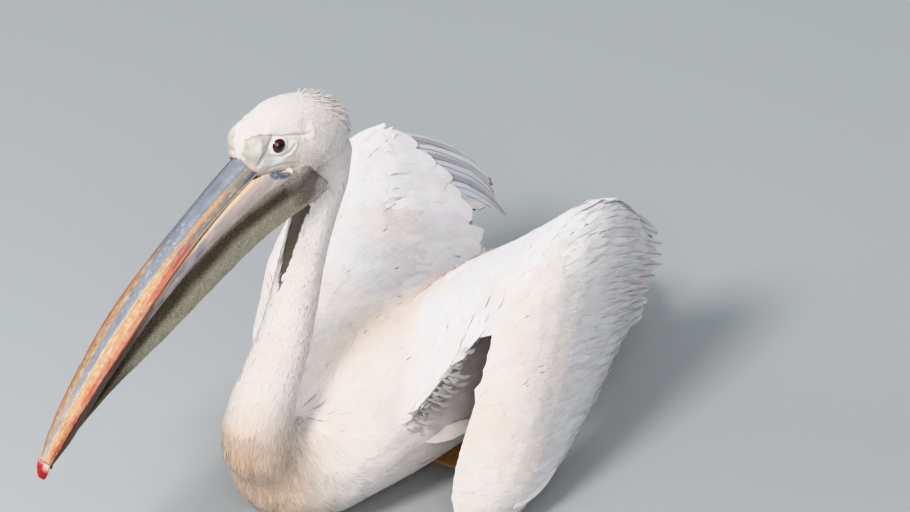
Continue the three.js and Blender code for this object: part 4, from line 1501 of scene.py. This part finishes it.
def leg_material():
    """Orange skin in small scales."""
    m = Nodes("leg_scaled")
    grain = m.place()
    scales = m.cells(grain, 330.0)
    tone = m.noise(grain, 60.0, 3.0)
    colour = m.blend(m.ramp(tone, 0.3, 0.7), (0.66, 0.40, 0.27), (0.74, 0.52, 0.34))
    colour = m.tinted(m.ramp(scales, 0.1, 0.75, 1.08, 0.68), colour)
    m.set(Specular_IOR_Level=0.4)
    return m.finish(colour, m.ramp(scales, 0.1, 0.7, 0.45, 0.7), m.bump(scales, 0.0007, 0.9))


def legs():
    """Feet and shanks, rounded off, with the webs sunk between the toes."""
    material = leg_material()
    for side in ("left", "right"):
        for part in ("foot", "leg"):
            node = f"{part}_{side}"
            mesh = smooth_copy(f"{node}_skin", [node], 1.6 * MM, 8)
            points = points_of(mesh)
            points[:, 2] = np.maximum(points[:, 2], 0.0)
            if part == "foot":
                points = sunk_webs(points, side)
            set_points(mesh, points)
            finish_piece(f"{node}_skin", mesh, material, [node])


TOE_TURNS = (-34, -6, 22, 62)


def sunk_webs(points, side):
    """Lowers the top of a foot between its toes, and rounds each toe with joints."""
    sign = 1 if side == "left" else -1
    heel = np.array([0.066 * sign, 0.105])
    q = points[:, :2] - heel
    turn = np.degrees(np.arctan2(sign * q[:, 0], -q[:, 1]))
    reach = np.linalg.norm(q, axis=1)
    apart = np.min([np.abs(turn - toe) for toe in TOE_TURNS], axis=0)
    away = np.radians(apart) * reach
    toe = bell(away, 0.0045) * (1 + 0.12 * np.cos(reach / 0.0035))
    top = points[:, 2] > 0.002
    points = points.copy()
    points[:, 2] -= np.where(top, (1 - toe) * 0.0030 * smoothstep(0.01, 0.03, reach), 0.0)
    points[:, 2] = np.maximum(points[:, 2], 0.0)
    return points


# ======== tail and flight feathers ========


def flight_material():
    """Long feathers: a pale raised shaft, barbs slanting from it, and soft cloudy tone."""
    m = Nodes("plumage_flight")
    vane = m.along()
    barbs = m.noise(m.scaled(vane, (1.6, 34.0, 1.0)), 1.0, 3.0, 0.6)
    shaft = m.ramp(m.first(vane), 0.05, 0.11, 1.0, 0.0)
    level = m.ramp(barbs, 0.25, 0.75, 0.8, 1.12)
    colour = m.tinted(level)
    colour = m.blend(m.math("MULTIPLY", shaft, 0.5), colour, (0.30, 0.25, 0.22))
    m.set(Sheen_Weight=0.2, Specular_IOR_Level=0.35)
    height = m.math("ADD", barbs, m.math("MULTIPLY", shaft, 3.0))
    return m.finish(colour, m.ramp(barbs, 0.2, 0.8, 0.5, 0.72), m.bump(height, 0.0003, 0.7))


RECTRICES = 22


def tail_fan():
    """A short rounded fan: the middle pair lies on top, and each feather half under the next one in."""
    low, high = (np.array(v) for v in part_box("tail"))
    across = np.linspace(-1, 1, RECTRICES)[:, None]
    s = ring_places(9)[None]
    start, end = low[1] - 0.045, high[1]
    root = 0.022
    reach = (end - start) * (1 - 0.10 * across**2)
    x = across * (root + (high[0] * 0.93 - root) * s**0.9)
    y = start + reach * s
    z = high[2] - 0.004 - 0.007 * across**2 - 0.0235 * s
    z = z - 0.0025 * np.abs(across) - 0.0035 * np.abs(across) * s
    paths = np.stack([x, y, z], axis=2)
    ups = np.broadcast_to(np.array([0.0, 0.12, 1.0]), paths.shape).copy()
    ups[..., 0] = 0.16 * across
    ups = unit(ups)
    order = np.argsort(np.abs(across[:, 0]))
    tints = np.tile(np.array(WHITE) * 0.95, (RECTRICES, 1))
    fan = vanes("tail_feathers", paths[order], ups[order], np.full(RECTRICES, 0.0125), jittered(tints),
                low=0.0, high=0.0, shape=STRAP, material=flight_material(), thick=0.0007, arch=0.12,
                unwrap=fill_square(across[order, 0], np.abs(across[order, 0])),
                tip_tint=(np.array(SHADE_GREY) * 1.15, 0.5))
    placed(fan, ["tail"])


PRIMARIES = 10


def primaries(side):
    """The folded hand: dark primaries laid along the line of their node, the outermost longest."""
    node = node_points(f"wing_{side}_hand")
    stops = np.linspace(node[:, 1].min() + 0.01, node[:, 1].max() - 0.004, 15)
    line, wide = [], []
    for stop in stops:
        near = node[np.abs(node[:, 1] - stop) < 0.03]
        low, high = near.min(0), near.max(0)
        line.append((low + high) / 2 * [1, 0, 1] + [0, stop, 0])
        wide.append((high - low)[[0, 2]] / 2)
    line, wide = np.array(line), np.array(wide)
    even_line(line, 3)
    even_line(wide, 3)
    sign = 1.0 if side == "left" else -1.0
    s = ring_places(14)
    rank = np.linspace(0, 1, PRIMARIES)[:, None]
    begin = 0.02 + 0.10 * (1 - rank)
    end = 0.74 + 0.26 * rank
    place = begin + (end - begin) * s[None]
    at = place * (len(line) - 1)
    stops = np.arange(len(line))
    centre = on_line(at, stops, line)
    half = np.interp(at, stops, wide[:, 1])
    flat = smoothstep(0.3, 0.85, place) * math.radians(62)
    down = np.stack([-sign * np.sin(flat), np.zeros_like(flat), np.cos(flat)], axis=2)
    spread_out = (0.62 - 1.24 * rank) * half * 0.75
    paths = centre + down * spread_out[..., None]
    ups = unit(np.cross(np.gradient(paths, axis=1), down)) * sign
    paths = paths + ups * (rank[..., None] - 0.5) * 0.007
    tints = np.tile(np.array(REMEX), (PRIMARIES, 1))
    fan = vanes(
        f"primaries_{side}", paths, ups, np.full(PRIMARIES, 0.0125), jittered(tints, 0.1), low=0.0,
        high=0.0, shape=STRAP, material=bpy.data.materials["plumage_flight"], thick=0.0008, arch=0.08,
        unwrap=fill_square(rank[:, 0], rank[:, 0] ** 2)
    )
    placed(fan, [f"wing_{side}_hand"])


# ======== rows of long feathers on the wings ========


def ribs_apart(side, first, last, spacing):
    """Rib places an even number of millimetres apart near the feather tips."""
    fine = np.linspace(first, last, 400)
    step = np.linalg.norm(np.diff(wing_face(side, 0.85, fine), axis=0), axis=1)
    travel = np.r_[0.0, np.cumsum(step)]
    return np.interp(np.linspace(0, travel[-1], int(travel[-1] / (spacing * MM)) + 1), travel, fine)


def laid_on(coat, paths, ups):
    """Lowers or lifts paths onto the surface, and past its rim keeps the last shift."""
    n, k = paths.shape[:2]
    near, fresh, _ = coat.surface.nearest(paths.reshape(-1, 3))
    near, fresh = near.reshape(n, k, 3), fresh.reshape(n, k, 3)
    shift = ((near - paths) * ups).sum(-1)
    aside = np.linalg.norm(near - paths - shift[..., None] * ups, axis=-1)
    good = (aside < 0.004) & ((fresh * ups).sum(-1) > 0.6) & (np.abs(shift) < 0.012)
    shift[:, 0] = np.where(good[:, 0], shift[:, 0], 0.0)
    for j in range(1, k):
        shift[:, j] = np.where(good[:, j], shift[:, j], shift[:, j - 1])
    return paths + ups * shift[..., None], good[:, : k // 2].mean(1) > 0.6


def feather_row(
        coat, name, side, ribs, long, end, width, material, low, high, *, tint, shape=STRAP, loose=0.0,
        hang=0.01, tilt=0.1, tip=None, swing=0.03, drop=0.0, curl=0.0, arch=0.08, thick=0.5,
        straight=1.0, facing=None
):
    """One row across a wing, with measures in millimetres; long and end are in parts of a rib. ribs are the
    first, the last and their distance, or a list. Each feather's inner neighbour lies over its edge. Past the
    straight place the feathers stand off the wing's own curve."""
    ribs = ribs_apart(side, *ribs) if isinstance(ribs, tuple) else np.array(ribs)
    n = len(ribs)
    end = np.interp(ribs, *end) if np.ndim(end) else np.full(n, end)
    stop = (end + RNG.normal(0, hang, n))[:, None]
    start = (end - long + RNG.normal(0, 0.01, n))[:, None]
    s = ring_places(9)[None]
    u = start + (stop - start) * s
    along = ribs[:, None] + RNG.normal(0, swing, n)[:, None] * s**2 + drop * np.sin(0.75 * math.pi * s)
    bound = np.minimum(u, straight)
    paths = wing_face(side, bound, along)
    inward = unit(wing_face(side, bound, along - 0.05) - paths)
    ahead = (paths - wing_face(side, bound - 0.03, along)) / 0.03
    ups = unit(np.cross(ahead, inward)) * (1 if side == "left" else -1)
    paths, lies = laid_on(coat, paths, ups)
    paths = paths + ahead * (u - bound)[..., None]
    paths, ups, inward, ribs = paths[lies], ups[lies], inward[lies], ribs[lies]
    n = len(ribs)
    tints = np.tile(tint, (n, 1)) if np.ndim(tint) else tint(ribs)
    wide = np.interp(ribs, width[0], np.multiply(width[1], MM)) if np.ndim(width) else width * MM
    half = wide / 2 * RNG.normal(1.0, 0.08, n)
    ups = unit(ups + tilt * inward)
    if facing is not None:
        ups = unit(mix(ups, facing, 0.92 * smoothstep(0.4, 0.75, s)))
    obj = vanes(
        name, paths, ups, half, jittered(tints, 0.03), low=low * MM,
        high=high * MM + loose * MM * RNG.random(n) ** 2, shape=shape, material=material,
        thick=thick * MM, arch=arch, curl=curl * MM * RNG.normal(0.5, 0.5, n),
        unwrap=unwrap_wing(paths[:, 0]), tip_tint=tip
    )
    placed(obj)


SILVER = (0.74, 0.74, 0.79)
COVERT = (0.87, 0.85, 0.85)
TIP_WHITE = (0.86, 0.85, 0.87)


def flight_tint(ribs):
    """Silvery beside the back, darkening towards the hand."""
    return mix(SILVER, REMEX, smoothstep(0.8, 2.0, ribs) * 0.9)


def left_rows(coat, flight, contour):
    """The near wing: smooth over the elbow, separate tips at its top, a ruffled and streaky rear edge."""
    feather_row(coat, "flight_left_lower", "left", (3.0, 8.7, 10), 0.5, 0.94, 15, flight, -5, -3.4,
                tint=flight_tint, thick=0.7)
    feather_row(coat, "flight_left_upper", "left", (0.3, 2.0, 12), 0.5, 0.99, 19, flight, -4, -0.6,
                tint=COVERT, tip=(SILVER, 0.4), thick=0.6)
    tips = ([2.3, 2.6, 3.2, 4.2, 5.3], [1.07, 1.06, 1.04, 1.01, 1.0])
    feather_row(coat, "flight_left_tips", "left", (2.3, 5.3, 15), 0.5, tips, 12, flight, -3, 0.2,
                tint=(0.55, 0.55, 0.58), tip=(TIP_WHITE, 0.8), hang=0.02, tilt=0.15, straight=0.84,
                swing=0.05, facing=np.array([0.57, -0.5, 0.65]))
    rows = ((0.0, 6.5, -0.8), (0.03, 6, -0.4), (0.065, 6, -0.1), (0.105, 6, 0.1), (0.15, 6.5, 0.2),
            (0.2, 7.5, 0.2), (0.26, 9, 0.1), (0.33, 10, 0.1))
    for number, (back, width, high) in enumerate(rows):
        stop = ([2.7, 3.4, 4.4, 5.2, 9.0], [e - back for e in (0.88, 0.88, 0.89, 0.965, 1.0)])
        feather_row(coat, f"coverts_left_{number}", "left", (2.7 + 0.02 * number, 8.85, width * 0.62), 0.24,
                    stop, width, contour, -1.7, high, tint=COVERT, hang=0.025, loose=1.6 - 3 * back,
                    curl=2.4 - 6 * back, tip=(SHADE_GREY, max(0.0, 0.55 - 2 * back)), shape=LANCE,
                    drop=0.12, swing=0.05, tilt=0.04, straight=0.93, arch=0.03)
    for number, end in enumerate((0.95, 0.87, 0.78, 0.68)):
        feather_row(coat, f"scapulars_left_{number}", "left", (0.15, 2.9, 9), 0.26, end, 17, contour, -1.7,
                    0.1, tint=COVERT, hang=0.02, loose=0.8, shape=ROUND, tip=(SHADE_GREY, 0.2), tilt=0.04)


def right_rows(coat, flight, contour):
    """The far wing: broad white lobes, and behind them a fan of silver tertials, every other one painted
    darker as shade, over darker feathers.
    """
    ends = ([1.9, 3.2, 9], [0.96, 0.91, 0.96])
    feather_row(coat, "flight_right_lower", "right", (1.9, 8.7, 10), 0.5, ends, 15, flight, -5, -2.0,
                tint=(0.10, 0.095, 0.10), thick=0.7)
    fan = [2.05, 2.2, 2.38, 2.48, 2.62, 2.78, 2.88, 3.02]
    ends = ([2.0, 2.2, 2.3, 2.6, 2.75, 3.05], [1.02, 1.03, 0.98, 0.985, 0.93, 0.91])
    # Every other tertial is painted darker, as shade between the feathers.
    feather_row(coat, "tertials_right", "right", fan, 0.42, ends, 15, flight, -1.5, 2.4,
                tint=lambda ribs: mix(SILVER, (0.47, 0.47, 0.52), np.arange(len(ribs)) % 2),
                tip=(TIP_WHITE, 0.45), hang=0.008, tilt=0.22, thick=0.6, swing=0.02, arch=0.14)
    rows = ((0.0, 34, 17, 3.4), (0.07, 27, 14, 2.2), (0.15, 24, 13, 0.4), (0.24, 20, 12, 0.2))
    for number, (back, width, spacing, high) in enumerate(rows):
        stop = (LOBE_EDGE[0], [e - back for e in LOBE_EDGE[1]])
        narrowing = ([2.0, 2.7, 3.1], np.array([1.0, 0.75, 0.5]) * width)
        feather_row(coat, f"lobes_right_{number}", "right", (0.1, 3.1, spacing), 0.3, stop, narrowing,
                    contour, -5.5, high, tint=COVERT, hang=0.022, loose=0.8, shape=ROUND, tilt=0.04,
                    swing=0.05, arch=0.04)
        feather_row(coat, f"coverts_right_{number}", "right", (3.75, 8.85, 8), 0.22, stop, 12, contour,
                    -1.7, 0.2, tint=COVERT, hang=0.02, loose=1.2, curl=1.5, tip=(SHADE_GREY, 0.3), drop=0.1)


def wing_rows(coat):
    flight = bpy.data.materials["plumage_flight"]
    contour = bpy.data.materials["plumage_contour"]
    left_rows(coat, flight, contour)
    right_rows(coat, flight, contour)
    lone_feathers(contour)


def drawn_feathers(name, lines, ups, widths, material, tints):
    """Feathers along lines of a few points each (millimetres), with their face directions and widths."""
    s = ring_places(10)
    paths = []
    for line in lines:
        line = np.asarray(line, float) * MM
        bend = on_line(s, np.linspace(0, 1, len(line)), line)
        even_line(bend, 2)
        paths.append(bend)
    paths = np.array(paths)
    ups = np.repeat(unit(np.array(ups, float))[:, None], paths.shape[1], axis=1)
    obj = vanes(
        name, paths, ups, np.array(widths) / 2 * MM, np.array(tints), low=0.0, high=0.0, shape=LANCE,
        material=material, thick=0.0006, arch=0.08, unwrap=unwrap_wing(paths[:, 0])
    )
    placed(obj)


def lone_feathers(contour):
    """The few that stand out: on top of the near wing, under its lower edge, and on the flank."""
    lines, ups, widths, tints = [], [], [], []

    def one(line, up, width, tint):
        lines.append(line)
        ups.append(up)
        widths.append(width)
        tints.append(tint)

    one([(155, 138, 326), (157, 176, 326), (158, 213, 314)], (0.3, -0.2, 1), 9, TIP_WHITE)
    one([(158, 150, 324), (160, 175, 322), (161, 196, 315)], (0.4, -0.2, 1), 9, TIP_WHITE)
    one([(227, -40, 38), (228, 0, 43), (223, 40, 52)], (1, -0.2, 0.3), 13, WHITE)
    one([(114, -66, 92), (122, -26, 89), (122, 14, 86)], (0.75, -0.5, 0.5), 18, WHITE)
    for rib in np.linspace(2.75, 3.45, 6):
        root = wing_face("right", 0.34, rib) / MM
        end = wing_face("right", 0.54 + RNG.normal(0, 0.015), rib) / MM
        one([root, (root + end) / 2 + [0, 0, 3], end + [0, 3, 7]], (0.3, -0.3, 0.9), 19, COVERT)

    rows = ((0.03, 20, 1), (0.02, 22, 5), (0.01, 24, 9), (0.0, 26, 13), (-0.01, 26, 18))
    for row, (u, reach, below) in enumerate(rows):
        for rib in np.arange(0.9 + 0.05 * row, 3.2, 0.1):
            root = wing_face("left", u, rib) / MM + RNG.normal(0, 1.5, 3) - [2, 0, below]
            way = np.array([2, 0.75 * reach, -4 - 1.5 * row]) * RNG.normal(1, 0.2)
            end = root + way + RNG.normal(0, 2, 3)
            shade = 0.66 * (1 + RNG.normal(0, 0.08))
            one([root, (root + end) / 2 + [2, -1, -3], end], (0.8, -0.2, 0.5), RNG.normal(4.6, 0.7),
                np.array(COVERT) * shade * [1.0, 0.97, 0.93])
    drawn_feathers("feathers_loose", lines, ups, widths, contour, tints)


# ======== the coat, region by region ========


def dorsal(coat):
    """Faces on the upper side of a wing: the inner face of a raised arm, and the outer face of a forearm."""
    n = coat.surface.normals
    sign = np.where(coat.surface.points[coat.surface.corners[:, 0], 0] > 0, 1.0, -1.0)
    arm = n[:, 2] - 0.5 * sign * n[:, 0] > 0
    forearm = sign * n[:, 0] + 0.5 * n[:, 2] > 0
    return np.where(named(coat.face_labels, "wing_left_arm", "wing_right_arm"), arm, forearm)


def crest(coat, down):
    """Thin hackles standing out of the nape."""
    h = to_head(coat.surface.middles)
    nape = (h[:, 1] > 103) & (h[:, 2] > -130) & (h[:, 2] < -28)
    coat_on(coat, "coat_head_crest", nape, down, 2.9, 17, 1.7, -0.6, 1.2, thick=0.2, ruffle=4, curl=2.5,
            turn=0.3, lift=0.9)


def dress_head(coat):
    """The small tufts of crown, cheek and nape, on the finished skin of the head."""
    down = vane_material("plumage_head", rough=0.8, contrast=0.04)
    h = to_head(coat.surface.middles)
    bare = face_depth(h)
    head = named(coat.face_labels, "head") & ((bare < -0.9) | (np.abs(h[:, 0]) < 3)) & (h[:, 1] > 2.5)
    crown = head & (h[:, 1] < 62)
    coat_on(coat, "coat_head_crown", crown, down, 1.7, 5.0, 2.1, -0.25, 0.28, rings=3, thick=0.16)
    coat_on(coat, "coat_head_nape", head & ~crown, down, 2.2, 10, 3.0, -0.4, 0.28, rings=4, thick=0.18,
            ruffle=0.3)
    crest(coat, down)


def dress(coat):
    """All the other small feathers, from the neck to the coverts on the wings."""
    down = vane_material("plumage_down", rough=0.8, contrast=0.05)
    contour = vane_material("plumage_contour", contrast=0.09)
    streaked = vane_material("plumage_breast", contrast=0.3)
    centre = coat.surface.middles
    label = coat.face_labels
    neck = named(label, "neck_upper", "neck_middle", "neck_base")
    neck &= throat_front(centre) < 0.4
    meeting = centre[:, 2] + 0.02 * value_noise(centre, 0.012, 51)
    front = named(label, "neck_base") & (meeting < 0.20)
    coat_on(coat, "coat_neck", neck & (meeting > 0.165), down, 2.8, 13, 4.4, -1.1, 0.25, rings=4, thick=0.2,
            ruffle=0.3)

    trunk = named(label, "trunk")
    breast = (trunk & (centre[:, 1] < -0.165)) | front
    coat_on(coat, "coat_breast", breast, streaked, 3.5, 34, 4.0, -2.1, 0.35, ruffle=0.3, turn=0.03)
    back = trunk & ~breast & (coat.surface.normals[:, 2] > -0.25)
    belly = trunk & ~breast & ~back
    coat_on(coat, "coat_trunk_upper", back, contour, 6.0, 34, 11, -2.1, 0.2, ruffle=0.25, shape=ROUND)
    coat_on(coat, "coat_trunk_under", belly, contour, 7.0, 36, 12, -2.1, -0.4, shape=ROUND)

    upper = dorsal(coat)
    tertials = np.zeros(len(centre), bool)
    arm = named(label, "wing_right_arm")
    tertials[arm] = past_lobes(centre[arm]) > -0.03
    for side in ("left", "right"):
        arm = named(label, f"wing_{side}_arm")
        forearm = named(label, f"wing_{side}_forearm")
        wing_coat(coat, side, "arm", arm & ~(tertials & upper), upper, contour)
        wing_coat(coat, side, "forearm", forearm, upper, contour)


def wing_coat(coat, side, part, faces, upper, contour):
    """The small feathers on both faces of one part of a wing."""
    name = f"coat_wing_{side}_{part}"
    coat_on(coat, f"{name}_upper", faces & upper, contour, 6.3, 38, 11.5, -1.6, 0.2, unwrap=unwrap_wing,
            ruffle=0.3, shape=ROUND)
    coat_on(coat, f"{name}_under", faces & ~upper, contour, 8.0, 42, 14, -1.6, 0.1, unwrap=unwrap_wing,
            shape=ROUND, clear=30)


# ======== stage ========


def plain_stage():
    """A pale floor for the pictures. It is no part of the bird."""
    mesh = bpy.data.meshes.new("floor")
    mesh.from_pydata([(-9, -9, 0), (9, -9, 0), (9, 9, 0), (-9, 9, 0)], [], [(0, 1, 2, 3)])
    floor = make_object("floor", mesh)
    material = bpy.data.materials.new("floor_pale")
    material.use_nodes = True
    shader = material.node_tree.nodes["Principled BSDF"]
    shader.inputs["Base Color"].default_value = (0.42, 0.44, 0.45, 1)
    shader.inputs["Roughness"].default_value = 0.85
    mesh.materials.append(material)


def pointed(obj, place, target):
    """Puts a lamp or camera at a place, looking at the target."""
    obj.location = place
    obj.rotation_euler = (Vector(target) - Vector(place)).to_track_quat("-Z", "Y").to_euler()


def lamp(name, place, size, power, colour):
    """A round soft lamp that shines at the bird's middle."""
    light = bpy.data.lights.new(name, "AREA")
    light.shape = "DISK"
    light.size = size
    light.energy = power
    light.color = colour
    obj = bpy.data.objects.new(name, light)
    bpy.context.scene.collection.objects.link(obj)
    pointed(obj, place, (0, 0, 0.2))


def lights_and_camera():
    """Studio light from the front right, and a camera at the photo's view."""
    bpy.context.scene.view_settings.view_transform = "Khronos PBR Neutral"
    world = bpy.data.worlds.new("studio")
    world.use_nodes = True
    background = world.node_tree.nodes["Background"]
    background.inputs["Color"].default_value = (0.86, 0.92, 1.0, 1)
    background.inputs["Strength"].default_value = 0.45
    bpy.context.scene.world = world
    lamp("key", (0.45, -2.9, 3.2), 1.1, 140, (1.0, 0.955, 0.90))
    lamp("fill", (-2.8, -2.2, 1.8), 2.5, 52, (0.95, 0.97, 1.0))
    lamp("front", (2.8, -2.4, 2.4), 2.5, 48, (1.0, 0.98, 0.95))
    lamp("rim", (-0.5, 3.2, 2.6), 2.0, 30, (1.0, 0.98, 0.95))
    camera = bpy.data.cameras.new("camera")
    camera.sensor_width = SENSOR
    camera.lens = SENSOR * VIEW_DISTANCE / VIEW_WIDTH
    obj = bpy.data.objects.new("camera", camera)
    bpy.context.scene.collection.objects.link(obj)
    level = math.cos(VIEW_ELEVATION)
    across, ahead = math.sin(VIEW_AZIMUTH) * level, -math.cos(VIEW_AZIMUTH) * level
    back = np.array([across, ahead, math.sin(VIEW_ELEVATION)])
    pointed(obj, AIM + back * VIEW_DISTANCE, AIM)
    bpy.context.scene.camera = obj


lights_and_camera()
plain_stage()
carrier = carrier_mesh()
coat = Coat(carrier)
skin = placed(skin_piece(coat, carrier), FLESH)
eye_wet = eye_material()
for side, sign in (("left", 1), ("right", -1)):
    eye_piece(side, sign, eye_wet)
upper_bill(horn_material("bill_sides_horn"))
bill_tip(horn_material("nail_horn", rough=0.3, flake=0.1))
lower_bill(horn_material("bill_lower_horn_finish", rough=0.45, flake=0.15))
legs()
tail_fan()
for side in ("left", "right"):
    primaries(side)
dress_head(Coat(skin.data))
dress(coat)
wing_rows(coat)
bpy.data.meshes.remove(carrier)
